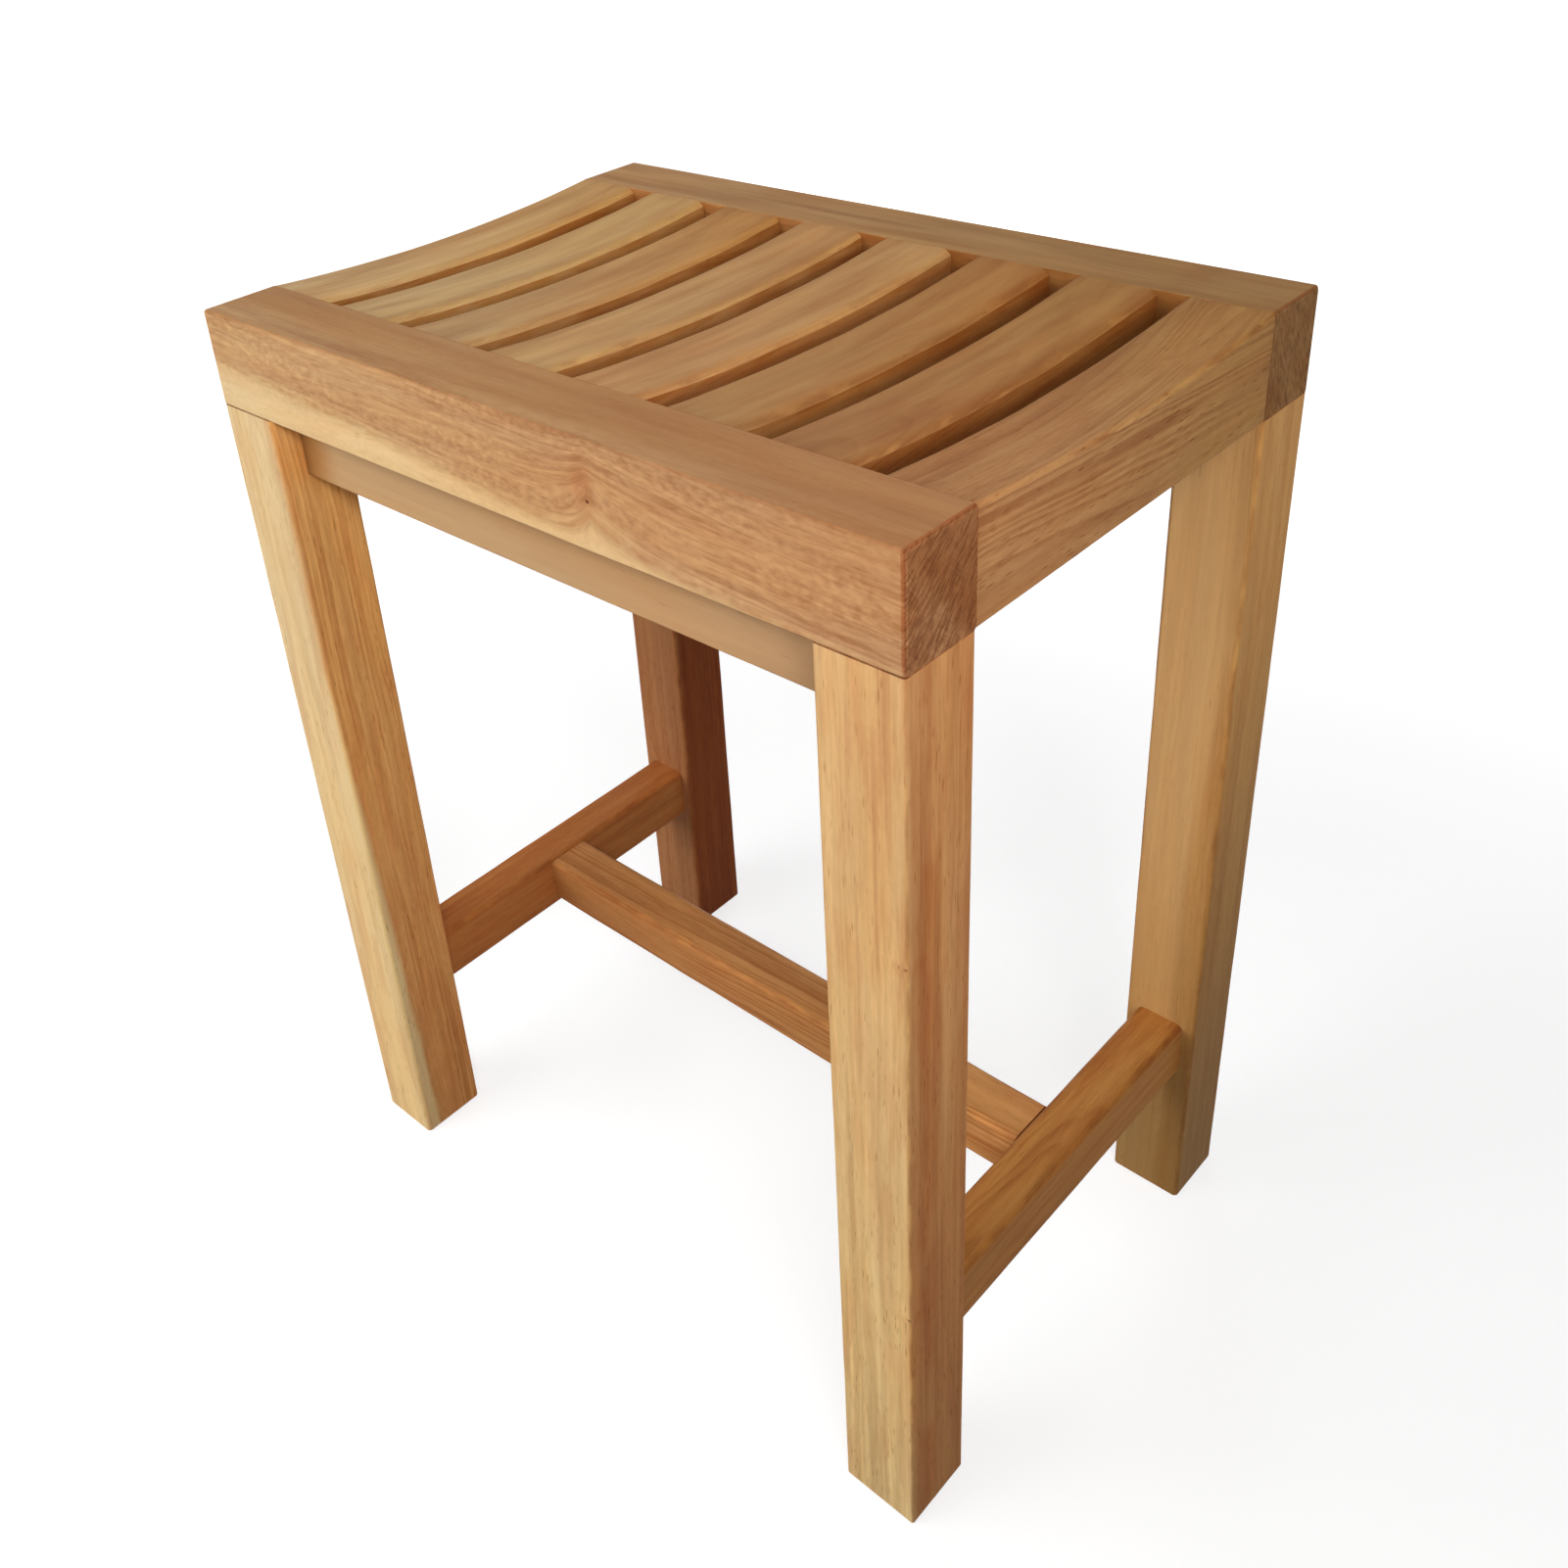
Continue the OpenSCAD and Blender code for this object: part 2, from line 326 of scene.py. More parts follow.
    def grain_noise(self, place: Socket, along: float, across: float, detail: float = 2.0,
                    roughness: float = 0.5, colour: bool = False) -> Socket:
        """Noise stretched along the grain.

        Args:
            place: where the point lies in the timber, in millimetres.
            along: size of a patch along the grain, in millimetres.
            across: size of a patch across the grain, in millimetres.
            detail: how many finer layers are added.
            roughness: how strong the finer layers are.
            colour: returns three noises as a colour in place of one value.

        Returns:
            The noise, about 0.5 on average.
        """
        shrunk = self.vector("MULTIPLY", place, (1 / along, 1 / across, 1 / across))
        inputs = {"Vector": shrunk, "Scale": 1.0, "Detail": detail, "Roughness": roughness}
        return self.add("TexNoise", inputs).outputs["Color" if colour else "Fac"]


class Kind(Enum):
    """The kinds of socket that a node group has."""

    NUMBER = "NodeSocketFloat"
    VECTOR = "NodeSocketVector"
    COLOUR = "NodeSocketColor"


def sockets(numbers: str, vectors: str = "", colours: str = "") -> dict[str, Kind]:
    """Returns the kind of each socket, from their names with spaces between them."""
    named = ((Kind.NUMBER, numbers), (Kind.VECTOR, vectors), (Kind.COLOUR, colours))
    return {name: kind for kind, names in named for name in names.split()}


class Group:
    """A shader node group that is built once and placed in each material with its own values."""

    name = "Group"
    takes: dict[str, Kind] = {}
    gives: dict[str, Kind] = {}

    def __init__(self) -> None:
        """Makes the group's tree and its sockets, and wires it."""
        self.tree = bpy.data.node_groups.new(self.name, "ShaderNodeTree")
        for side, ends in (("INPUT", self.takes), ("OUTPUT", self.gives)):
            for name, kind in ends.items():
                self.tree.interface.new_socket(name=name, in_out=side, socket_type=kind.value)
        entry = self.tree.nodes.new("NodeGroupInput")
        leave = self.tree.nodes.new("NodeGroupOutput")
        given = Ports(**{name: entry.outputs[name] for name in self.takes})
        for name, socket in self.wire(Wiring(self.tree), given).items():
            self.tree.links.new(socket, leave.inputs[name])

    def wire(self, w: Wiring, given: Ports) -> dict[str, Socket]:
        """Wires the group.

        Args:
            w: the group's own tree.
            given: the group's inputs by name.

        Returns:
            What goes to each output.
        """
        raise NotImplementedError

    def place(self, w: Wiring, source: object, **values: Value) -> Ports:
        """Places the group in another tree.

        Args:
            w: the tree it goes into.
            source: holds the value of each socket that isn't among the values, under the socket's name.
            values: what goes into the other sockets, by name.

        Returns:
            The group's outputs by name.
        """
        node = w.add("Group", node_tree=self.tree)
        for name in self.takes:
            w.put(node.inputs[name], values[name] if name in values else getattr(source, name))
        return Ports(**{name: node.outputs[name] for name in self.gives})


class KnotSwirl(Group):
    """Bends the grain up in a cusp around a pin knot, and masks the knot itself."""

    name = "Knot swirl"
    takes = sockets("lift steep_reach long_reach height size", "place knot")
    gives = sockets("core halo", "place")
    core_shape = (0.75, 0.25, 1.0)
    halo_offset = (2.0, 0.0, -5.0)
    halo_shape = (0.85, 0.25, 0.42)

    def wire(self, w: Wiring, given: Ports) -> dict[str, Socket]:
        """Wires the group; see Group.wire."""
        offset = w.vector("SUBTRACT", given.place, given.knot)
        along, aside, up = w.split(offset)
        after = w.over(along, given.long_reach)
        before = w.over(w.times(along, -1.0), given.steep_reach)
        cusp = w.math("EXPONENT", w.times(w.math("MAXIMUM", after, before), -1.0))
        rise = w.over(up, given.height)
        fade = w.math("EXPONENT", w.times(w.times(rise, rise), -1.0))
        deep = w.fade(w.math("ABSOLUTE", aside), 4.0, 16.0)
        lift = w.times(w.times(cusp, fade), w.times(given.lift, deep))
        shrunk = w.scaled(offset, w.over(1.0, given.size))
        core = w.vector("MULTIPLY", shrunk, self.core_shape)
        halo = w.vector("MULTIPLY", w.vector("ADD", shrunk, self.halo_offset), self.halo_shape)
        return {
            "place": w.vector("SUBTRACT", given.place, w.join(0.0, 0.0, lift)),
            "core": w.fade(w.measure("LENGTH", core), 0.35, 0.95),
            "halo": w.fade(w.measure("LENGTH", halo), 1.0, 7.0),
        }


class GrowthRings(Group):
    """Yearly rings around the tree's heart, with the tree's own wander."""

    name = "Growth rings"
    takes = sockets("slope ring_width wander", "place heart")
    gives = sockets("late_wood radius turn", "place")
    across = (0.0, 1.0, 1.0)
    fine_share = (0.0, 0.16, 0.16)
    middle = (0.5, 0.5, 0.5)
    turn_length = 105.0
    uneven_length = 7.0
    uneven_years = 4.5

    def wire(self, w: Wiring, given: Ports) -> dict[str, Socket]:
        """Wires the group; see Group.wire."""
        place = given.place
        broad = w.vector("SUBTRACT", w.grain_noise(place, 240, 65, 1.0, colour=True), self.middle)
        fine = w.vector("SUBTRACT", w.grain_noise(place, 34, 7, 1.0, colour=True), self.middle)
        bend = w.scaled(w.vector("ADD", broad, w.vector("MULTIPLY", fine, self.fine_share)), given.wander)
        wandered = w.vector("ADD", place, w.vector("MULTIPLY", bend, self.across))
        offset = w.vector("MULTIPLY", w.vector("SUBTRACT", wandered, given.heart), self.across)
        depth = w.weighed(w.measure("LENGTH", offset), (w.split(place)[0], given.slope))
        uneven = w.add("TexNoise", {"W": w.over(depth, self.uneven_length), "Scale": 1.0, "Detail": 2.0},
                       noise_dimensions="1D").outputs["Fac"]
        year = w.math("FRACT", w.weighed(w.over(depth, given.ring_width), (uneven, self.uneven_years)))
        late = w.times(w.ease(year, 0.25, 0.90), w.fade(year, 0.92, 1.0))
        faint = w.ease(w.grain_noise(place, 130, 16, 1.0), 0.36, 0.62, 0.15, 1.0)
        sides = w.split(offset)
        return {"late_wood": w.times(late, faint), "radius": depth,
                "turn": w.times(w.math("ARCTAN2", sides[1], sides[2]), self.turn_length), "place": wandered}


class Fibre(Group):
    """What the wood's own cells show: broad streaks, short strokes, fine fibre, open pores and rays."""

    name = "Fibre and pores"
    takes = sockets("radius turn pores pore_length pore_width", "place")
    gives = sockets("streaks soft strokes mottle fibre open_pores rays drift blush")
    waves = {"streaks": (150, 5.0, 3.0, 0.55), "soft": (75, 9, 1.0), "fibre": (24, 0.5, 2.0, 0.6),
             "drift": (120, 17, 2.0), "blush": (46, 7, 2.0)}
    ray_length = 7.0
    ray_depth = 6.0

    def wire(self, w: Wiring, given: Ports) -> dict[str, Socket]:
        """Wires the group; see Group.wire."""
        place = given.place
        long, wide = w.over(1.0, given.pore_length), w.over(1.0, given.pore_width)
        cells = w.add("TexVoronoi",
                      {"Vector": w.vector("MULTIPLY", place, w.join(long, wide, wide)), "Scale": 1.0}).outputs
        chance, size, depth = w.split(cells["Color"])
        share = w.times(given.pores, w.ease(w.grain_noise(place, 60, 5, 1.0), 0.40, 0.60, 0.10, 1.0))
        picked = w.math("LESS_THAN", chance, share)
        reach = w.ease(size, 0.0, 1.0, 0.20, 0.40)
        inside = w.fade(w.over(cells["Distance"], reach), 0.35, 1.0)
        strength = w.ease(depth, 0.0, 1.0, 0.45, 1.0)
        fan = w.join(w.over(w.split(place)[0], self.ray_length), given.turn, w.over(given.radius, self.ray_depth))
        rays = w.add("TexNoise", {"Vector": fan, "Scale": 1.0, "Detail": 1.0}).outputs["Fac"]
        busy = w.ease(w.grain_noise(place, 55, 12, 1.0), 0.38, 0.60, 0.25, 1.0)
        stroke = w.minus(w.grain_noise(place, 11, 1.2, 2.0, 0.55), 0.5)
        mottle = w.minus(w.grain_noise(place, 3.6, 1.9, 1.0), 0.5)
        return {
            **{name: w.grain_noise(place, *wave) for name, wave in self.waves.items()},
            "strokes": w.weighed(0.5, (stroke, busy)),
            "mottle": w.weighed(0.5, (mottle, w.minus(1.25, busy))),
            "open_pores": w.times(w.times(picked, inside), strength),
            "rays": w.ease(rays, 0.44, 0.62),
        }


class EasedEdge(Group):
    """Where hands, sandpaper and oil change a timber, and where light is painted: its rounded arrises, pale from
    handling and with a painted highlight, its butt joints, and the painted shade on the sides of the drain slots.
    """

    name = "Eased edges and joints"
    takes = sockets("wear", "place")
    gives = sockets("arris rubbed joint sawn tip")

    def wire(self, w: Wiring, given: Ports) -> dict[str, Socket]:
        """Wires the group; see Group.wire."""
        arris, joint, sawn = (w.add("Attribute", attribute_name=mask).outputs["Fac"] for mask in MASKS)
        handling_and_highlight = w.math("ADD", w.grain_noise(given.place, 15, 6, 3.0), given.wear)
        patchy = w.ease(w.grain_noise(given.place, 26, 6, 2.0), 0.3, 0.7, 0.65, 1.0)
        return {"arris": arris, "rubbed": w.ease(handling_and_highlight, 0.88, 1.12), "joint": joint,
                "sawn": w.times(sawn, patchy), "tip": patchy}


class TeakWood(Group):
    """Oiled teak in the round: one colour, roughness and relief for any cut through the timber, with painted shade
    on the sides of the drain slots and a painted highlight on the arrises.
    """

    name = "Oiled teak"
    takes = sockets(
        "slope ring_width wander sap_from sap_line line_width sap_blur core_from blush mottle rings streaks"
        " strokes fibre pores pore_length pore_width pore_depth calm_top wear",
        "place grain heart", "pale deep sap_pale sap_deep end_tint")
    gives = sockets("roughness height", colours="colour")
    line_tint = (0.82, 0.62, 0.47)
    core_tint = (0.88, 0.81, 0.73)
    drift_tint = (1.03, 0.98, 0.90)
    blush_tint = (0.94, 0.85, 0.82)
    pore_tint = (0.62, 0.47, 0.35)
    ray_tint = (0.52, 0.42, 0.36)
    tip_tint = (0.74, 0.52, 0.42)
    # Painted shade and warm bounce light on the sides of the drain slots.
    slot_shade_tint = (0.64, 0.41, 0.20)
    oiled_tint = (0.70, 0.58, 0.50)
    # The pale arris tint is handling and a painted highlight on the rounded edges.
    rubbed_and_highlight_tint = (1.03, 1.0, 0.86)
    joint_tint = (0.45, 0.34, 0.26)

    def __init__(self, rings: GrowthRings, fibre: Fibre, edges: EasedEdge) -> None:
        """Keeps the groups that this one is made of, and builds it."""
        self.rings, self.fibre, self.edges = rings, fibre, edges
        super().__init__()

    def wire(self, w: Wiring, given: Ports) -> dict[str, Socket]:
        """Wires the group; see Group.wire."""
        tree = self.rings.place(w, given)
        cells = self.fibre.place(w, given, place=tree.place, radius=tree.radius, turn=tree.turn)
        edges = self.edges.place(w, given)
        normal = w.add("TexCoord").outputs["Normal"]
        turned = w.math("ABSOLUTE", w.measure("DOT_PRODUCT", normal, given.grain))
        end = w.ease(turned, 0.35, 0.9)
        core = w.fade(w.minus(tree.radius, given.core_from), -16.0, 0.0)
        busy = w.weighed(1.0, (core, -0.45))
        calm = w.times(w.ease(w.split(normal)[2], 0.75, 0.97), given.calm_top)
        tone = self.tone(w, given, tree, cells, w.times(busy, w.times(calm, 2.4)),
                         w.times(busy, w.minus(1.0, calm)))
        beyond = w.minus(tree.radius, given.sap_from)
        sap = w.ease(beyond, w.times(given.sap_blur, -1.0), w.times(given.sap_blur, 0.6))
        wood = w.blend(sap, w.blend(tone, given.pale, given.deep), w.blend(tone, given.sap_pale, given.sap_deep))
        closed = w.math("MULTIPLY_ADD", calm, -1.6, 1.0, clamp=True)
        pores = w.times(w.times(cells.open_pores, closed), given.pore_depth)
        wood = w.tinted(
            wood,
            (w.times(self.line(w, given, beyond), given.sap_line), self.line_tint),
            (core, self.core_tint),
            (w.ease(cells.drift, 0.34, 0.66), self.drift_tint),
            (w.times(w.ease(cells.blush, 0.42, 0.66), given.blush), self.blush_tint),
            (pores, self.pore_tint))
        cut = w.tinted(wood, (1.0, given.end_tint), (w.times(cells.rays, 0.7), self.ray_tint))
        corner = w.times(w.ease(turned, 0.10, 0.30), w.fade(turned, 0.80, 0.97))
        # The slot shade here is painted shade, and the pale arris tint is both handling and a painted highlight.
        wood = w.tinted(
            w.blend(end, wood, cut),
            (w.times(corner, edges.tip), self.tip_tint),
            (edges.sawn, self.slot_shade_tint),
            (w.times(edges.arris, 0.75), w.blend(edges.rubbed, self.oiled_tint, self.rubbed_and_highlight_tint)),
            (w.times(edges.joint, 0.15), self.joint_tint))
        rough = w.weighed(0.56, (cells.fibre, 0.14), (pores, 0.18), (end, 0.14),
                          (w.times(edges.arris, edges.rubbed), -0.07))
        height = w.weighed(w.times(cells.open_pores, -1.0), (cells.fibre, 0.25), (cells.strokes, 0.35),
                           (tree.late_wood, 0.15), (w.times(cells.rays, end), 0.5))
        return {"colour": wood, "roughness": rough, "height": height}

    @staticmethod
    def tone(w: Wiring, given: Ports, tree: Ports, cells: Ports, soft: Socket, fine: Socket) -> Socket:
        """Adds up how dark the wood is at a point.

        Args:
            w: the group's own tree.
            given: the group's inputs.
            tree: what the growth rings give.
            cells: what the fibre gives.
            soft: how strongly the broad soft figure shows here.
            fine: how strongly the fine figure shows here.

        Returns:
            A value from 0, pale, to 1, deep.
        """
        figure = ((cells.streaks, fine, given.streaks), (cells.soft, soft, given.streaks),
                  (cells.strokes, fine, given.strokes), (cells.mottle, fine, given.mottle),
                  (cells.fibre, fine, given.fibre))
        parts = ((w.times(w.minus(wave, 0.5), share), contrast) for wave, share, contrast in figure)
        total = w.weighed(0.45, *parts)
        late = w.times(w.minus(tree.late_wood, 0.2), fine)
        return w.math("MULTIPLY_ADD", late, given.rings, total, clamp=True)

    @staticmethod
    def line(w: Wiring, given: Ports, beyond: Socket) -> Socket:
        """Masks the dark line just inside the sapwood.

        Args:
            w: the group's own tree.
            given: the group's inputs.
            beyond: how far the point lies past the sapwood's edge.

        Returns:
            The mask, broken up along the grain.
        """
        widths = w.over(beyond, given.line_width)
        band = w.times(w.ease(widths, -2.2, -1.2), w.fade(widths, -1.2, -0.2))
        spot = w.scaled(given.place, w.over(1.0, given.line_width))
        return w.times(band, w.ease(w.grain_noise(spot, 8, 2.5, 1.0), 0.40, 0.58))


@dataclass(frozen=True)
class Knot:
    """A knot in a timber; some are only a halo of painted shade: where it is from the timber's middle, how it
    bends the grain, and how dark it is.
    """

    place: tuple[float, float, float]
    lift: float = 13.0
    steep_reach: float = 9.0
    long_reach: float = 26.0
    height: float = 18.0
    size: float = 1.0
    core: float = 1.0
    halo: float = 0.55
    stain_and_shade: Colour = (0.82, 0.62, 0.54)


@dataclass(frozen=True)
class Teak:
    """One timber's finish, with some painted light and shade: its colours, and how it was cut from the tree.
    Lengths are in millimetres.

    lean, sap_lean: the tint that the heartwood and the sapwood take on towards the far end of the grain; it paints
    light and shade along the timber as well as the wood's own change.
    calm_top: how much smoother the figure is on faces that are turned up.
    wear: how much of each arris is pale from handling, which is also a painted highlight on the rounded edge; the
    rest is dark.
    """

    heartwood: Colour = day(196, 146, 99)
    sapwood: Colour = day(226, 190, 138)
    sap_from: float = 900.0
    sap_line: float = 0.0
    line_width: float = 1.2
    sap_blur: float = 2.5
    core_from: float = 0.0
    lean: Colour = WHITE
    sap_lean: Colour = WHITE
    calm_top: float = 0.5
    wear: float = 0.5
    figure: float = 0.8
    sap_figure: float = 0.4
    blush: float = 0.5
    mottle: float = 0.3
    heart: tuple[float, float] = (60.0, 60.0)
    slope: float = 0.02
    ring_width: float = 3.0
    wander: float = 8.0
    rings: float = 0.25
    streaks: float = 1.3
    strokes: float = 0.9
    fibre: float = 0.3
    pores: float = 0.4
    pore_length: float = 9.0
    pore_width: float = 0.9
    pore_depth: float = 0.6
    end_tint: Colour = (0.56, 0.45, 0.44)
    knots_and_shade_halos: tuple[Knot, ...] = ()

    def woods(self) -> Iterable[tuple[str, Colour, Colour]]:
        """Yields each wood of the figure: its name, and its colour at the near and the far end of the grain."""
        for kind, wood, figure, lean in (("", self.heartwood, self.figure, self.lean),
                                         ("sap_", self.sapwood, self.sap_figure, self.sap_lean)):
            for tone, change in (("pale", (0.24, 0.32, 0.40)), ("deep", (-0.28, -0.42, -0.50))):
                near = tuple(min(1.0, max(0.0, c * (1 + figure * k))) for c, k in zip(wood, change))
                yield kind + tone, near, tuple(c * tint for c, tint in zip(near, lean))


class Grain(Enum):
    """Which way a timber's grain runs, as the order of the axes: along the grain, then the two across."""

    ALONG_X = (0, 1, 2)
    ALONG_Y = (1, 0, 2)
    ALONG_Z = (2, 0, 1)

    def direction(self) -> tuple[float, float, float]:
        """Returns the unit vector along the grain."""
        return tuple(float(axis == self.value[0]) for axis in range(3))

    def turn(self) -> Matrix:
        """Returns the matrix that takes a point's x, y and z to its places along and across the grain."""
        return Matrix([[float(axis == wanted) for axis in range(3)] for wanted in self.value])


class WoodShop:
    """Builds the wood materials from the shared node groups."""

    seed_step = Vector((731.0, 157.0, 91.0))
    no_core = -9000.0
    knot_heart = day(98, 48, 26)

    def __init__(self) -> None:
        """Builds the groups once."""
        self.knots_and_shade_halos = KnotSwirl()
        self.teak = TeakWood(GrowthRings(), Fibre(), EasedEdge())

    def material(self, name: str, look: Teak, grain: Grain, box: Box, seed: int) -> Material:
        """Makes one timber's material.

        Args:
            name: the material's name.
            look: the timber's finish.
            grain: which way its grain runs.
            box: the timber's corners, in metres.
            seed: picks the stretch of wood, so that no two timbers are alike.

        Returns:
            The new material.
        """
        material = bpy.data.materials.new(name)
        w = Wiring.fresh(material)
        axes = w.split(w.millimetres(tuple((box[0] + box[1]) / 2)))
        place = w.join(*(axes[axis] for axis in grain.value))
        swirls: list[Ports] = []
        for knot in look.knots_and_shade_halos:
            swirls.append(self.knots_and_shade_halos.place(w, knot, place=place, knot=knot.place))
            place = swirls[-1].place
        along = grain.value[0]
        half = (box[1] - box[0])[along] / 2 / MM
        # Towards the far end of the grain each wood turns to its lean tint: painted light and shade along the
        # timber, with the wood's own change.
        far = w.ease(axes[along], -half, half)
        shift = self.seed_step * seed
        wood = self.teak.place(
            w, look, place=w.vector("ADD", place, tuple(shift)), grain=grain.direction(),
            heart=(0.0, look.heart[0] + shift.y, look.heart[1] + shift.z),
            sap_from=look.sap_from + look.slope * shift.x,
            core_from=look.core_from + look.slope * shift.x if look.core_from else self.no_core,
            **{part: w.blend(far, near, end) for part, near, end in look.woods()})
        colour = wood.colour
        # Each knot tints a halo; the coreless halos on the front left leg and the aprons are painted shade.
        for knot, swirl in zip(look.knots_and_shade_halos, swirls):
            colour = w.tinted(colour, (w.times(swirl.halo, knot.halo), knot.stain_and_shade))
            colour = w.blend(w.times(swirl.core, knot.core), colour, self.knot_heart)
        w.surface(colour, wood.roughness, wood.height, 0.35, 0.12, IOR=1.4, Specular_IOR_Level=0.2)
        return material


# ---- Timber ----

@dataclass(frozen=True)
class Easing:
    """How far each edge of a timber is rounded, in millimetres.

    long: the four edges along the grain, round from the low corner of both axes across.
    start, stop: the four edges around each end, on the low and high side of each axis across,
        in the order low first axis, high first axis, low second axis, high second axis.
    flat: how much less than that each long edge drops than it runs in.
    sweep: how far each long edge turns, in degrees: a quarter turn is round, and less is a
        shoulder that leaves a crisp arris at the side.
    slot_sides: whether the low and the high side of the first axis across face a drain slot, and so take the
    painted slot shade.
    """

    long: tuple[float, ...]
    start: tuple[float, ...] = (0.0,) * 4
    stop: tuple[float, ...] = (0.0,) * 4
    flat: tuple[float, ...] = (1.0,) * 4
    sweep: tuple[float, ...] = (90.0,) * 4
    slot_sides: tuple[float, float] = (0.0, 0.0)


@dataclass
class Timber:
    """One piece of teak: a bar in the place of its node, with rounded edges, an optional dish and drilled ends."""

    node: str
    grain: Grain
    easing: Easing
    look: Teak
    slot: str
    seed: int
    dish: float = 0.0
    crisp: float = 0.15
    # How much lighter the painted slot shade gets towards the bottom of each slot side, against the shade that
    # falls there.
    slot_shade_fade: float = 0.45
    arc_steps: int = 6
    flat_steps: int = 4
    station_gap: float = 6.0
    least_gap: float = 1e-5
    unevenness: float = 0.18
    wave_length: float = 26.0
    wave_steps: tuple[float, float] = (3.7, 5.1)
    joint_depth: float = 0.9
    shoulder_power: float = 0.8
    joints: bool = True

    def low_high(self) -> Box:
        """Finds the node's corners in the order along and across the grain.

        Returns:
            The low and the high corner, in millimetres.
        """
        low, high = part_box(self.node)
        turn = self.grain.turn()
        return turn @ low / MM, turn @ high / MM

    def radii(self, corner: int, along: float) -> tuple[float, float]:
        """Works out the rounding of one long edge at a place along it, a little uneven as hands leave it.

        Args:
            corner: which long edge.
            along: the place along the grain.

        Returns:
            How far the rounding runs in, and how far it drops.
        """
        by_timber, by_edge = self.wave_steps
        wave = noise.noise(Vector((along / self.wave_length, self.seed * by_timber, corner * by_edge)))
        run = max(self.easing.long[corner] * (1 + self.unevenness * wave), self.crisp)
        return run, max(run * self.easing.flat[corner], self.crisp)

    def stations(self, start: float, stop: float) -> list[float]:
        """Lists the places along the grain where the timber has a ring of points.

        Args:
            start, stop: the two ends, in millimetres.

        Returns:
            The places in order, close together where the ends are rounded.
        """
        found = {start, stop}
        for end, inward, radii in ((start, 1, self.easing.start), (stop, -1, self.easing.stop)):
            for radius in {max(r, self.crisp) for r in radii}:
                found |= {end + inward * radius * (1 - math.sin(step / self.arc_steps * QUARTER_TURN))
                          for step in range(self.arc_steps + 1)}
        count = max(2, round((stop - start) / self.station_gap))
        margin = 2 * max(self.crisp, *self.easing.start, *self.easing.stop)
        for step in range(1, count):
            place = start + (stop - start) * step / count
            if start + margin < place < stop - margin:
                found.add(place)
        ordered = sorted(found)
        pairs = zip(ordered, ordered[1:])
        return ordered[:1] + [place for before, place in pairs if place - before > self.least_gap]

    def inset(self, along: float, start: float, stop: float, side: int) -> float:
        """Works out how far one side has drawn in where an end is rounded.

        Args:
            along: the place along the grain.
            start, stop: the two ends.
            side: which side, in the order of the easing's end edges.

        Returns:
            The distance in millimetres.
        """
        total = 0.0
        for distance, radii in ((along - start, self.easing.start), (stop - along, self.easing.stop)):
            radius = max(radii[side], self.crisp)
            if distance < radius:
                total += radius - math.sqrt(max(0.0, radius ** 2 - (radius - distance) ** 2))
        return total

    def sag(self, along: float, half: float) -> float:
        """Works out how far the dished top lies below its ends.

        Args:
            along: the place along the grain, from the middle.
            half: half the timber's length.

        Returns:
            The distance in millimetres.
        """
        if not self.dish:
            return 0.0
        curve = (half ** 2 + self.dish ** 2) / (2 * self.dish)
        return self.dish - curve + math.sqrt(curve ** 2 - along ** 2)

    def corner(self, index: int, share: float, run: float, drop: float) -> tuple[float, float]:
        """Places one point of a rounded edge.

        Args:
            index: which long edge.
            share: how far round the edge the point is, from 0 to 1.
            run, drop: the rounding of the edge there.

        Returns:
            How far the point lies inside the edge's own corner, across and up.
        """
        sweep = math.radians(self.easing.sweep[index])
        if sweep < QUARTER_TURN:
            lean = sweep * math.sin((share if index == 3 else 1 - share) * QUARTER_TURN) ** self.shoulder_power
            return (run * (1 - math.sin(lean) / math.sin(sweep)),
                    drop * (1 - math.cos(lean)) / (1 - math.cos(sweep)))
        turn = QUARTER_TURN * (share if index % 2 == 0 else 1 - share)
        return run * (1 - math.cos(turn)), drop * (1 - math.sin(turn))

    def ring(self, along: float, low: Vector, high: Vector) -> list[tuple[Vector, float, float]]:
        """Makes one ring of points around the timber.

        Args:
            along: the ring's place along the grain.
            low, high: the timber's corners.

        Returns:
            The points, each with how much of an arris it is, and how much painted slot shade it takes.
        """
        start, stop = low.x, high.x
        drawn = [self.inset(along, start, stop, side) for side in range(4)]
        first, last, bottom = low.y + drawn[0], high.y - drawn[1], low.z + drawn[2]
        top = high.z - drawn[3] - self.sag(along - (start + stop) / 2, (stop - start) / 2)
        corners = ((first, bottom, 1, 1), (last, bottom, -1, 1), (last, top, -1, -1), (first, top, 1, -1))
        rounding = [self.radii(index, along) for index in range(4)]
        low_slot, high_slot = self.easing.slot_sides
        slot_shade_at_bottom = 1 - self.slot_shade_fade
        points: list[tuple[Vector, float, float]] = []

        def at(index: int, share: float) -> Vector:
            """Places a point of one rounded edge.

            Args:
                index: which long edge.
                share: how far round the edge the point is, from 0 to 1.

            Returns:
                The point.
            """
            across, up, in_across, in_up = corners[index]
            inward, down = self.corner(index, share, *rounding[index])
            return Vector((along, across + in_across * inward, up + in_up * down))

        for index in range(4):
            for step in range(self.arc_steps + 1):
                share = step / self.arc_steps
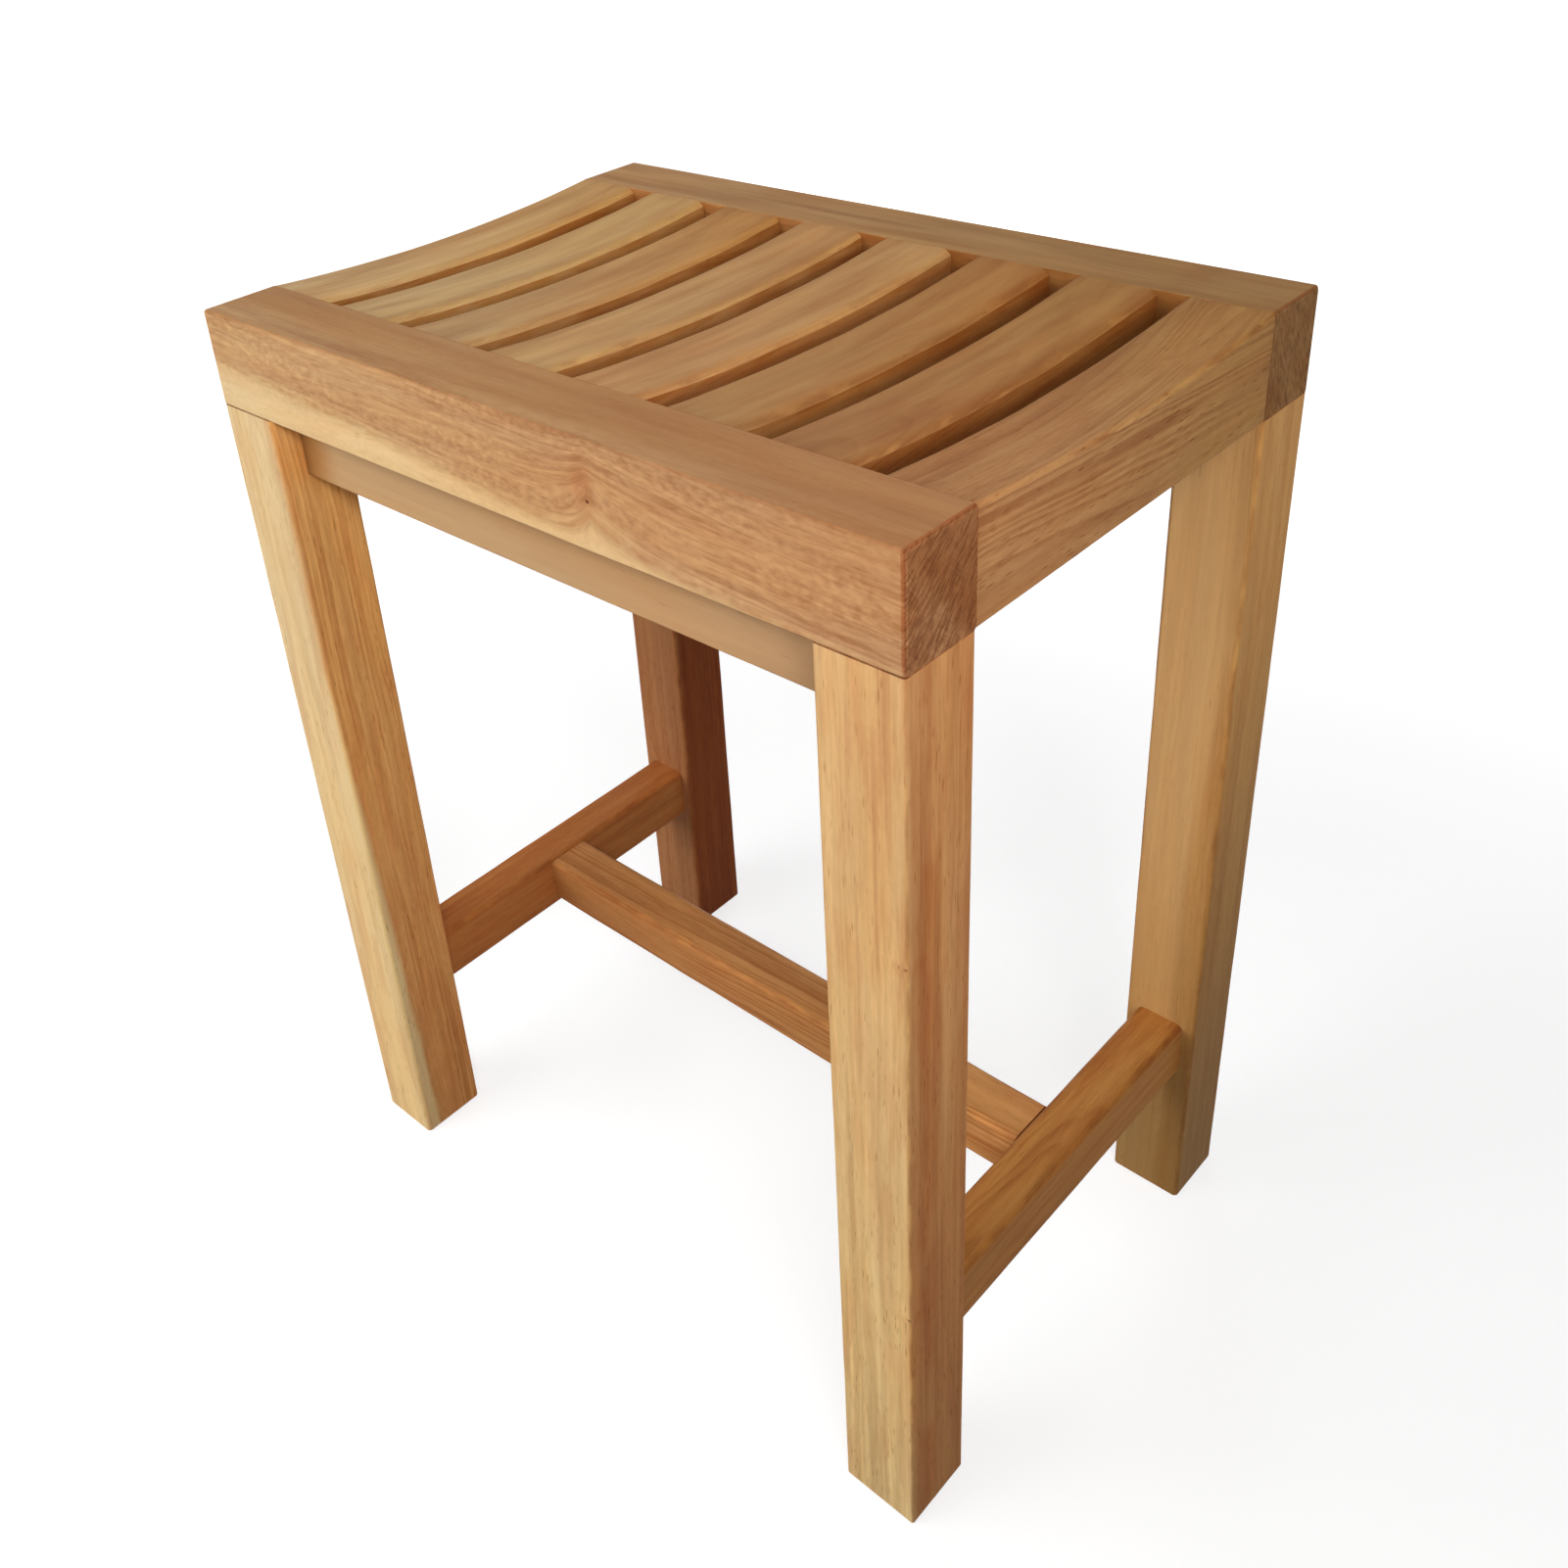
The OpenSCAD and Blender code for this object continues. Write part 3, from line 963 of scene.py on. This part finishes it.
                # How much painted slot shade the point takes: full at the top of a slot side, less towards its
                # bottom.
                side = (low_slot * (1 - share) * slot_shade_at_bottom, high_slot * share * slot_shade_at_bottom, high_slot * (step == 0),
                        low_slot * (step == self.arc_steps))[index]
                points.append((at(index, share), math.sin(share * math.pi) * min(1.0, rounding[index][0]), side))
            last_point, goal = points[-1][0], at((index + 1) % 4, 0.0)
            for step in range(1, self.flat_steps):
                share = step / self.flat_steps
                deep = share if index == 3 else 1 - share
                side = (0.0, high_slot, 0.0, low_slot)[index] * (1 - self.slot_shade_fade * deep)
                points.append((last_point.lerp(goal, share), 0.0, side))
        return points

    def mesh(self) -> bpy.types.Mesh:
        """Builds the timber's mesh, with its arris, joint and painted slot shade masks.

        Returns:
            The mesh, in metres.
        """
        low, high = self.low_high()
        back = self.grain.turn().transposed()
        shape = bmesh.new()
        arris, joint, sawn = [shape.verts.layers.float.new(mask) for mask in MASKS]
        rings: list[Ring] = []
        for along in self.stations(low.x, high.x):
            verts = []
            for point, edge, side in self.ring(along, low, high):
                vert = shape.verts.new(back @ point * MM)
                vert[arris], vert[sawn] = edge, side
                if self.joints:
                    nearest = min(along - low.x, high.x - along)
                    vert[joint] = max(0.0, 1 - nearest / self.joint_depth)
                verts.append(vert)
            rings.append(verts)
        skin(shape, rings)
        bmesh.ops.recalc_face_normals(shape, faces=shape.faces)
        return finished(shape, self.node)

    def build(self, shop: WoodShop, dowels: "DowelJoints") -> None:
        """Builds the timber, drills it, dresses it and puts it in its node's place.

        Args:
            shop: makes the material.
            dowels: drills the holes.
        """
        piece = stand(f"{self.node}_teak", self.mesh())
        holes = dowels.drill(piece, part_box(self.node))
        settle_normals(piece)
        piece.data.materials.clear()
        piece.data.materials.append(
            shop.material(f"{self.node} teak", self.look, self.grain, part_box(self.node), self.seed))
        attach(piece, BODY)
        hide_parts(self.node)
        log.info("%s: %d faces, %d holes", piece.name, len(piece.data.polygons), holes)


def settle_normals(piece: bpy.types.Object) -> None:
    """Smooths the rounded edges while the flat faces stay flat.

    Args:
        piece: the piece to smooth.
    """
    piece.data.shade_smooth()
    weighted = piece.modifiers.new("flat faces lead", "WEIGHTED_NORMAL")
    weighted.mode = "FACE_AREA"
    weighted.weight = 100
    weighted.keep_sharp = True
    apply_modifiers(piece)


def apply_modifiers(piece: bpy.types.Object) -> None:
    """Turns a piece's modifiers into its mesh.

    Args:
        piece: the piece that has them.
    """
    depsgraph = bpy.context.evaluated_depsgraph_get()
    mesh = bpy.data.meshes.new_from_object(piece.evaluated_get(depsgraph), depsgraph=depsgraph)
    mesh.name = piece.data.name
    piece.modifiers.clear()
    piece.data = mesh


# ---- Dowels ----

@dataclass(frozen=True)
class Dowel:
    """One dowel, in metres: its middle, the axis it lies along, its radius and half its length."""

    middle: Vector
    axis: int
    radius: float
    half: float

    def frame(self) -> Matrix:
        """Returns the matrix that lays a dowel made along Z in its place."""
        turn = Vector((0, 0, 1)).rotation_difference(Vector([float(self.axis == a) for a in range(3)]))
        return Matrix.Translation(self.middle) @ turn.to_matrix().to_4x4()

    def reaches(self, box: Box) -> bool:
        """Tells whether the dowel goes into a box."""
        size = Vector([self.half if axis == self.axis else 0.0 for axis in range(3)])
        return all(self.middle[a] + size[a] > box[0][a] and self.middle[a] - size[a] < box[1][a] for a in range(3))


@dataclass
class DowelJoints:
    """The hidden beech dowels, and the holes that they go in. Lengths are in millimetres."""

    nodes: tuple[str, ...]
    clearance: float = 0.1
    end_gap: float = 0.5
    flutes: int = 18
    flute_depth: float = 0.35
    chamfer: float = 1.0
    hole_sides: int = 48
    weld: float = 0.01
    found: dict[str, list[Dowel]] = field(default_factory=dict)

    def __post_init__(self) -> None:
        """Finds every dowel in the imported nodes."""
        self.found = {node: self.read(node) for node in self.nodes}

    def read(self, node: str) -> list[Dowel]:
        """Finds the separate dowels of one node.

        Args:
            node: the node's name.

        Returns:
            The dowels, in the order of their places.
        """
        shape = bmesh.new()
        shape.from_mesh(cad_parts[node].data)
        bmesh.ops.remove_doubles(shape, verts=shape.verts, dist=self.weld * MM)
        left = set(shape.verts)
        dowels = []
        while left:
            island, edge = set(), [left.pop()]
            while edge:
                vert = edge.pop()
                island.add(vert)
                for link in vert.link_edges:
                    other = link.other_vert(vert)
                    if other in left:
                        left.discard(other)
                        edge.append(other)
            low, high = (Vector([pick(v.co[a] for v in island) for a in range(3)]) for pick in (min, max))
            size = high - low
            axis = max(range(3), key=lambda a: size[a])
            dowels.append(Dowel((low + high) / 2, axis, size[(axis + 1) % 3] / 2, size[axis] / 2))
        shape.free()
        return sorted(dowels, key=lambda d: tuple(round(c, 5) for c in d.middle))

    def drill(self, piece: bpy.types.Object, box: Box) -> int:
        """Cuts the holes of every dowel that goes into a piece.

        Args:
            piece: the timber to drill.
            box: its corners.

        Returns:
            How many holes were cut.
        """
        reach = [dowel for dowels in self.found.values() for dowel in dowels if dowel.reaches(box)]
        if not reach:
            return 0
        shape = bmesh.new()
        for dowel in reach:
            radius = dowel.radius + self.clearance * MM
            bmesh.ops.create_cone(shape, cap_ends=True, segments=self.hole_sides, radius1=radius, radius2=radius,
                                  depth=2 * (dowel.half + self.end_gap * MM), matrix=dowel.frame())
        cutter = stand("holes", finished(shape, "holes"))
        cut = piece.modifiers.new("drill", "BOOLEAN")
        cut.operation, cut.solver, cut.object = "DIFFERENCE", "EXACT", cutter
        apply_modifiers(piece)
        holes = cutter.data
        bpy.data.objects.remove(cutter)
        bpy.data.meshes.remove(holes)
        return len(reach)

    def fluted(self, shape: Shape, dowel: Dowel) -> None:
        """Adds one fluted dowel with chamfered ends.

        Args:
            shape: the mesh that it goes into.
            dowel: its place and size.
        """
        sides = self.flutes * 4
        chamfer = self.chamfer * MM
        levels = ((-dowel.half, dowel.radius - chamfer, 0.0), (-dowel.half + chamfer, dowel.radius, 1.0),
                  (dowel.half - chamfer, dowel.radius, 1.0), (dowel.half, dowel.radius - chamfer, 0.0))
        place = dowel.frame()
        rings = []
        for height, radius, depth in levels:
            ring = []
            for side in range(sides):
                turn = 2 * math.pi * side / sides
                r = radius - self.flute_depth * MM * depth * (side % 4 == 2)
                ring.append(shape.verts.new(place @ Vector((r * math.cos(turn), r * math.sin(turn), height))))
            rings.append(ring)
        skin(shape, rings)

    def build(self, material: Material) -> None:
        """Builds each group of dowels as one piece in the place of its node.

        Args:
            material: the dowels' material.
        """
        for node, dowels in self.found.items():
            shape = bmesh.new()
            for dowel in dowels:
                self.fluted(shape, dowel)
            bmesh.ops.recalc_face_normals(shape, faces=shape.faces)
            mesh = finished(shape, node)
            mesh.materials.append(material)
            piece = stand(f"{node}_beech", mesh)
            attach(piece, BODY)
            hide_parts(node)
            log.info("%s: %d dowels", piece.name, len(dowels))


def beech_material() -> Material:
    """Makes the bare beech of the dowels: pale pink-brown with short dark flecks.

    Returns:
        The new material.
    """
    material = bpy.data.materials.new("bare beech")
    w = Wiring.fresh(material)
    place = w.millimetres()
    tone = w.grain_noise(place, 1.6, 1.6, 3.0)
    flecks = w.add("TexVoronoi", {"Vector": place, "Scale": 1.1}).outputs["Distance"]
    colour = w.blend(w.ease(tone, 0.3, 0.7), day(228, 200, 160), day(204, 168, 124))
    colour = w.blend(w.ease(flecks, 0.08, 0.2, 0.5, 0.0), colour, day(150, 106, 70))
    w.surface(colour, w.ease(tone, 0.2, 0.8, 0.6, 0.75), tone, 0.3, 0.1)
    return material


# ---- Sub-assemblies ----

@dataclass
class Seat:
    """What the end rails and the slats share: the dish, and the shoulders along the drain slots."""

    under: float = 1.0
    worn_edge: float = 2.0
    shoulder: float = 4.0
    shoulder_drop: float = 0.55
    shoulder_sweep: float = 55.0
    dish: float = 4.5

    def bar(self, low: bool = True, high: bool = True) -> Easing:
        """Works out the easing of a dished bar.

        Args:
            low, high: whether the low and the high side face a drain slot, and so have a shoulder.

        Returns:
            The easing.
        """
        def edges(below: float, plain: float, shoulder: float) -> tuple[float, ...]:
            """Returns a value for each long edge."""
            return below, below, shoulder if high else plain, shoulder if low else plain

        return Easing(long=edges(self.under, self.worn_edge, self.shoulder),
                      flat=edges(1.0, 1.0, self.shoulder_drop), sweep=edges(90.0, 90.0, self.shoulder_sweep),
                      slot_sides=(float(low), float(high)))


@dataclass
class SeatFrame(Seat):
    """The two long rails and the two end rails between them."""

    edge: float = 1.2
    tip: float = 1.6

    def timbers(self) -> Iterable[Timber]:
        """Yields the rails."""
        front = Teak(
            heartwood=day(193, 152, 105), sapwood=day(223, 194, 146), sap_from=106.8, sap_line=0.5, sap_blur=5.0,
            core_from=88.0, lean=(0.87, 0.79, 0.80), sap_lean=(0.93, 0.85, 0.80), mottle=1.5, slope=-0.04,
            ring_width=2.6, wander=5.0, rings=0.35, strokes=1.6, pores=0.35, pore_length=7.0, pore_depth=0.5,
            wear=0.3, fibre=0.4, sap_figure=0.22, end_tint=(0.82, 0.72, 0.66),
            knots_and_shade_halos=(Knot(place=(48.4, -17.0, -1.5), lift=10.0, halo=0.7),))
        rear = Teak(
            heartwood=day(184, 141, 93), lean=(0.69, 0.66, 0.53), blush=0.6, heart=(-30.0, 70.0), slope=0.03,
            ring_width=3.4, strokes=0.8, end_tint=(0.86, 0.85, 0.95),
            knots_and_shade_halos=(Knot(place=(138.0, 10.6, 20.5), lift=4.0, size=1.6, core=0.0, halo=0.4),))
        left = Teak(heartwood=day(213, 175, 122), lean=(0.82, 0.73, 0.61), heart=(-20.0, 80.0), ring_width=3.5,
                    wear=0.7)
        right = Teak(
            heartwood=day(178, 129, 83), lean=(0.80, 0.82, 0.63), figure=0.9, blush=0.6, core_from=68.0,
            heart=(-44.0, -34.0), slope=0.035, ring_width=2.8, wander=7.0, rings=0.6, streaks=1.4, strokes=1.6,
            pores=1.0, pore_length=8.0, pore_width=1.1, pore_depth=0.95, fibre=0.4, calm_top=0.35, wear=0.6)
        for seed, (node, look, tips, tops, slots) in enumerate((
                ("front_rail", front, (self.tip, 0.0, 0.0, self.tip), (0.0, self.edge), (0.0, 1.0)),
                ("rear_rail", rear, (0.0, self.tip, 0.0, self.tip), (self.edge, 0.0), (1.0, 0.0))), 1):
            easing = Easing(long=(self.under, self.under, *tops), start=tips, stop=tips, slot_sides=slots)
            yield Timber(node, Grain.ALONG_X, easing, look, "rail_teak", seed, joints=False)
        yield Timber("left_end_rail", Grain.ALONG_Y, self.bar(low=False), left, "end_rail_teak", 3, dish=self.dish)
        yield Timber("right_end_rail", Grain.ALONG_Y, self.bar(high=False), right, "end_rail_teak", 4,
                     dish=self.dish)


@dataclass
class Slats(Seat):
    """The six dished slats of the seat."""

    def timbers(self) -> Iterable[Timber]:
        """Yields the slats from left to right."""
        # The pale arris share falls from the left slat to the right one, so the painted highlight on the shoulders
        # fades to the right.
        looks = (
            Teak(heartwood=day(203, 168, 117), lean=(0.96, 0.88, 0.75), blush=0.4, heart=(30.0, 60.0), slope=0.03,
                 wear=0.7),
            Teak(heartwood=day(193, 153, 104), lean=(0.90, 0.75, 0.54), heart=(-6.0, 44.0), slope=-0.06,
                 rings=0.2, wear=0.7),
            Teak(heartwood=day(198, 157, 105), lean=(0.84, 0.73, 0.64), blush=0.6, heart=(50.0, 40.0), slope=0.04,
                 wear=0.65),
            Teak(heartwood=day(195, 146, 95), lean=(0.87, 0.90, 0.85), blush=0.7, heart=(-60.0, 30.0), wear=0.6),
            Teak(heartwood=day(182, 137, 85), lean=(0.84, 0.73, 0.57), blush=0.8, heart=(40.0, 70.0), slope=-0.03,
                 wear=0.4),
            Teak(heartwood=day(168, 119, 71), lean=(0.93, 0.97, 0.82), blush=1.0, heart=(4.0, 38.0), slope=0.08,
                 rings=0.4, wear=0.35),
        )
        for index, look in enumerate(looks, 1):
            yield Timber(f"slat_{index}", Grain.ALONG_Y, self.bar(), look, "slat_teak", 10 + index, dish=self.dish)


@dataclass
class Underframe:
    """The legs, the aprons and the stretchers."""

    edge: float = 2.0
    crisp_edge: float = 1.2
    under: float = 1.0
    stretcher_edge: float = 3.0
    leg_station_gap: float = 9.0

    def timbers(self) -> Iterable[Timber]:
        """Yields the legs, then the aprons, then the stretchers."""
        yield from self.legs()
        yield from self.aprons()
        yield from self.stretchers()

    def legs(self) -> Iterable[Timber]:
        """Yields the four legs."""
        soft, crisp = (Easing(long=(edge,) * 4, start=(self.under,) * 4) for edge in (self.edge, self.crisp_edge))
        # The legs' lean and sap_lean tints paint light and shade along their height.
        looks = {
            "front_left_leg": Teak(
                heartwood=day(220, 156, 94), sapwood=day(242, 209, 151), sap_from=113.5, sap_line=0.4, fibre=0.4,
                lean=(1.10, 1.22, 1.16), sap_lean=(0.84, 0.87, 0.96), blush=1.0, heart=(60.0, 90.0), slope=-0.018,
                ring_width=6.0, wander=14.0, rings=0.5, streaks=1.1, pores=0.9, pore_depth=0.8, wear=0.9,
                # This coreless knot at the top of the right face is painted shade: the orange of the corner where
                # the leg meets the apron under the seat.
                knots_and_shade_halos=(Knot(place=(188.0, 17.0, 2.0), lift=0.0, size=2.4, core=0.0, halo=0.85,
                            stain_and_shade=(0.80, 0.64, 0.42)),)),
            "front_right_leg": Teak(
                heartwood=day(195, 135, 77), sapwood=day(228, 195, 136), sap_from=107.5, sap_line=0.8,
                line_width=7.0, lean=(1.04, 1.14, 1.40), sap_lean=(0.86, 0.75, 0.73), blush=1.0, sap_figure=0.7,
                heart=(80.0, 70.0), slope=0.003, ring_width=4.0, fibre=0.4, wander=6.0, streaks=2.0, strokes=0.8,
                pores=0.9, pore_length=10.0, pore_width=1.1, pore_depth=0.75, knots_and_shade_halos=self.pins()),
            # The rear left leg's dark red-brown is partly the wood and partly painted shade from under the seat.
            "rear_left_leg": Teak(
                heartwood=day(139, 72, 31), sapwood=day(166, 113, 72), sap_from=104.0, figure=1.2, sap_figure=0.9,
                heart=(60.0, 80.0), slope=0.01, strokes=1.2, pores=0.8, pore_depth=0.9),
            "rear_right_leg": Teak(
                heartwood=day(159, 117, 65), sapwood=day(177, 137, 84), sap_from=110.0, lean=(1.66, 1.70, 1.93),
                sap_lean=(1.68, 1.72, 1.97), blush=0.2, heart=(60.0, 80.0), slope=0.01, ring_width=3.2,
                pores=0.25),
        }
        for seed, (node, look) in enumerate(looks.items(), 20):
            easing = crisp if node == "front_right_leg" else soft
            yield Timber(node, Grain.ALONG_Z, easing, look, "leg_teak", seed, station_gap=self.leg_station_gap,
                         joints=False)

    @staticmethod
    def pins() -> tuple[Knot, ...]:
        """Returns the pin marks on the front right leg."""
        return tuple(Knot(place=(height, 16.8, -17.0), lift=1.5, steep_reach=4.0, long_reach=4.0, height=4.0,
                          size=0.6, core=0.7, halo=0.35) for height in (96.0, -75.5))

    def aprons(self) -> Iterable[Timber]:
        """Yields the two aprons."""
        easing = Easing(long=(self.under, self.under, 0.0, 0.0))
        # The coreless knot near the left end is painted shade: the dark orange of the corner where the apron meets
        # the leg.
        look = Teak(heartwood=day(191, 154, 110), lean=(0.93, 0.88, 0.88), figure=0.5, blush=0.2, mottle=0.1,
                    heart=(90.0, 20.0), slope=0.0, ring_width=5.0, rings=0.1, streaks=0.7, strokes=0.2, fibre=0.2,
                    pores=0.08, knots_and_shade_halos=(Knot(place=(-131.0, -9.0, -14.0), lift=2.0, size=2.6, core=0.0, halo=1.0,
                                            stain_and_shade=(0.75, 0.57, 0.36)),))
        for seed, node in enumerate(("front_apron", "rear_apron"), 30):
            yield Timber(node, Grain.ALONG_X, easing, look, "apron_teak", seed)

    def stretchers(self) -> Iterable[Timber]:
        """Yields the two end stretchers and the centre stretcher."""
        easing = Easing(long=(self.stretcher_edge,) * 4)
        looks = {
            "left_stretcher": Teak(heartwood=day(180, 113, 59), calm_top=0.0, blush=0.7, heart=(30.0, 50.0)),
            "right_stretcher": Teak(
                heartwood=day(180, 123, 62), calm_top=0.0, blush=0.9, heart=(8.0, 46.0), slope=0.03,
                ring_width=3.2, rings=0.4, streaks=1.5, pores=0.5),
            "centre_stretcher": Teak(
                heartwood=day(197, 136, 80), lean=(0.99, 1.05, 1.04), calm_top=0.0, blush=0.7, heart=(30.0, 34.0),
                slope=0.03, wander=11.0, rings=0.7),
        }
        for seed, (node, look) in enumerate(looks.items(), 40):
            grain = Grain.ALONG_X if node == "centre_stretcher" else Grain.ALONG_Y
            yield Timber(node, grain, easing, look, "stretcher_teak", seed)


# ---- Studio ----

@dataclass(frozen=True)
class Lamp:
    """A square soft light: where it stands and what it faces, its side in metres, its power and its beam."""

    name: str
    place: tuple[float, float, float]
    target: tuple[float, float, float]
    side: float
    watts: float
    spread: float = 180.0

    def build(self) -> None:
        """Puts the light in the scene."""
        light = bpy.data.lights.new(self.name, "AREA")
        light.shape, light.size = "SQUARE", self.side
        light.energy, light.spread = self.watts, math.radians(self.spread)
        lamp = stand(self.name, light)
        lamp.location = self.place
        lamp.rotation_euler = (Vector(self.target) - Vector(self.place)).to_track_quat("-Z", "Y").to_euler()
        lamp.visible_camera = False


@dataclass
class Studio:
    """The pale floor, the even surroundings, the lamps and the camera at the photograph's angle."""

    floor_side: float = 16.0
    floor_seen: Colour = (0.45, 0.45, 0.45)
    floor_lit: Colour = (0.12, 0.12, 0.12)
    floor_glow: tuple[float, float] = (0.72, 0.97)
    floor_reach: tuple[float, float] = (0.32, 0.95)
    surroundings: float = 0.195
    lamps: tuple[Lamp, ...] = (
        Lamp("key", (-0.82, -1.50, 1.00), (0.0, 0.0, 0.25), 1.5, 25.0),
        Lamp("side", (0.92, -0.50, 0.79), (-0.05, 0.0, 0.42), 0.35, 0.76, 62.0),
        Lamp("slots", (1.05, -0.94, 1.38), (0.0, 0.0, 0.45), 0.35, 1.05, 62.0),
        Lamp("back", (-0.95, 1.55, 0.24), (0.0, 0.0, 0.22), 0.4, 7.0),
    )
    eye: tuple[float, float, float] = (0.402559, -0.422145, 0.653877)
    right: tuple[float, float, float] = (0.720993, 0.688691, -0.076640)
    down: tuple[float, float, float] = (0.299272, -0.409230, -0.861955)
    ahead: tuple[float, float, float] = (-0.624984, 0.598528, -0.501158)
    focal_pixels: float = 1631.967
    centre_pixel: tuple[float, float] = (700.0, 620.0)
    clip: tuple[float, float] = (0.02, 60.0)

    def build(self) -> None:
        """Puts the whole studio in the scene."""
        bpy.context.scene.view_settings.view_transform = "Standard"
        self.floor()
        self.world()
        for lamp in self.lamps:
            lamp.build()
        self.camera()

    @staticmethod
    def seen(w: Wiring) -> Socket:
        """Tells the rays that show the background itself: camera, glossy and transmission rays.

        Args:
            w: the tree that asks.

        Returns:
            1 for such a ray, and 0 for one that lights the bench.
        """
        path = w.add("LightPath").outputs
        first = w.math("ADD", path["Is Camera Ray"], path["Is Glossy Ray"])
        return w.math("ADD", first, path["Is Transmission Ray"], clamp=True)

    def floor(self) -> None:
        """Makes the floor, which looks white and keeps the bench's shadow."""
        mesh = bpy.data.meshes.new("floor")
        half = self.floor_side / 2
        around = ((-half, -half, 0), (half, -half, 0), (half, half, 0), (-half, half, 0))
        mesh.from_pydata(around, [], [(0, 1, 2, 3)])
        material = bpy.data.materials.new("pale floor")
        w = Wiring.fresh(material)
        seen = self.seen(w)
        away = w.measure("LENGTH", w.add("TexCoord").outputs["Object"])
        lift = w.ease(away, *self.floor_reach, *self.floor_glow)
        matt = w.add("BsdfDiffuse", {"Color": w.blend(seen, self.floor_lit, self.floor_seen)})
        glow = w.add("Emission", {"Color": WHITE, "Strength": w.times(seen, lift)})
        both = w.add("AddShader", {0: matt.outputs[0], 1: glow.outputs[0]})
        w.add("OutputMaterial", {"Surface": both.outputs[0]})
        mesh.materials.append(material)
        floor = stand("floor", mesh)
        floor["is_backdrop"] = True

    def world(self) -> None:
        """Makes the even surroundings: white where they are seen, dimmer where they light the bench."""
        world = bpy.data.worlds.new("studio")
        bpy.context.scene.world = world
        w = Wiring.fresh(world)
        strength = w.weighed(self.surroundings, (self.seen(w), 1.0 - self.surroundings))
        glow = w.add("Background", {"Color": WHITE, "Strength": strength})
        w.add("OutputWorld", {"Surface": glow.outputs[0]})

    def camera(self) -> None:
        """Makes the camera where the photograph was taken from."""
        data = bpy.data.cameras.new("camera")
        data.sensor_width = SENSOR_MM
        data.lens = self.focal_pixels / IMAGE_SIDE * SENSOR_MM
        data.shift_x = (IMAGE_SIDE / 2 - self.centre_pixel[0]) / IMAGE_SIDE
        data.shift_y = (self.centre_pixel[1] - IMAGE_SIDE / 2) / IMAGE_SIDE
        data.clip_start, data.clip_end = self.clip
        camera = stand("camera", data)
        rows = Matrix((Vector(self.right), -Vector(self.down), -Vector(self.ahead)))
        camera.matrix_world = Matrix.Translation(self.eye) @ rows.transposed().to_4x4()
        bpy.context.scene.camera = camera


DOWEL_NODES = ("slat_dowels", "end_rail_dowels", "leg_dowels", "apron_dowels", "end_stretcher_dowels",
               "centre_stretcher_dowels")


def corners(bounds: Sequence[Sequence[float]]) -> list[list[float]]:
    """Returns a box's two corners as plain lists of numbers."""
    return [[float(value) for value in corner] for corner in bounds]


def main() -> None:
    """Builds the bench and its studio."""
    logging.basicConfig(level=logging.INFO, format="%(name)s: %(message)s")
    packed = corners(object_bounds())
    Studio().build()
    shop = WoodShop()
    dowels = DowelJoints(DOWEL_NODES)
    for assembly in (SeatFrame(), Slats(), Underframe()):
        for timber in assembly.timbers():
            timber.build(shop, dowels)
    dowels.build(beech_material())
    {"packed": packed, "dressed": corners(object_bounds())}


if __name__ == "__main__":
    main()
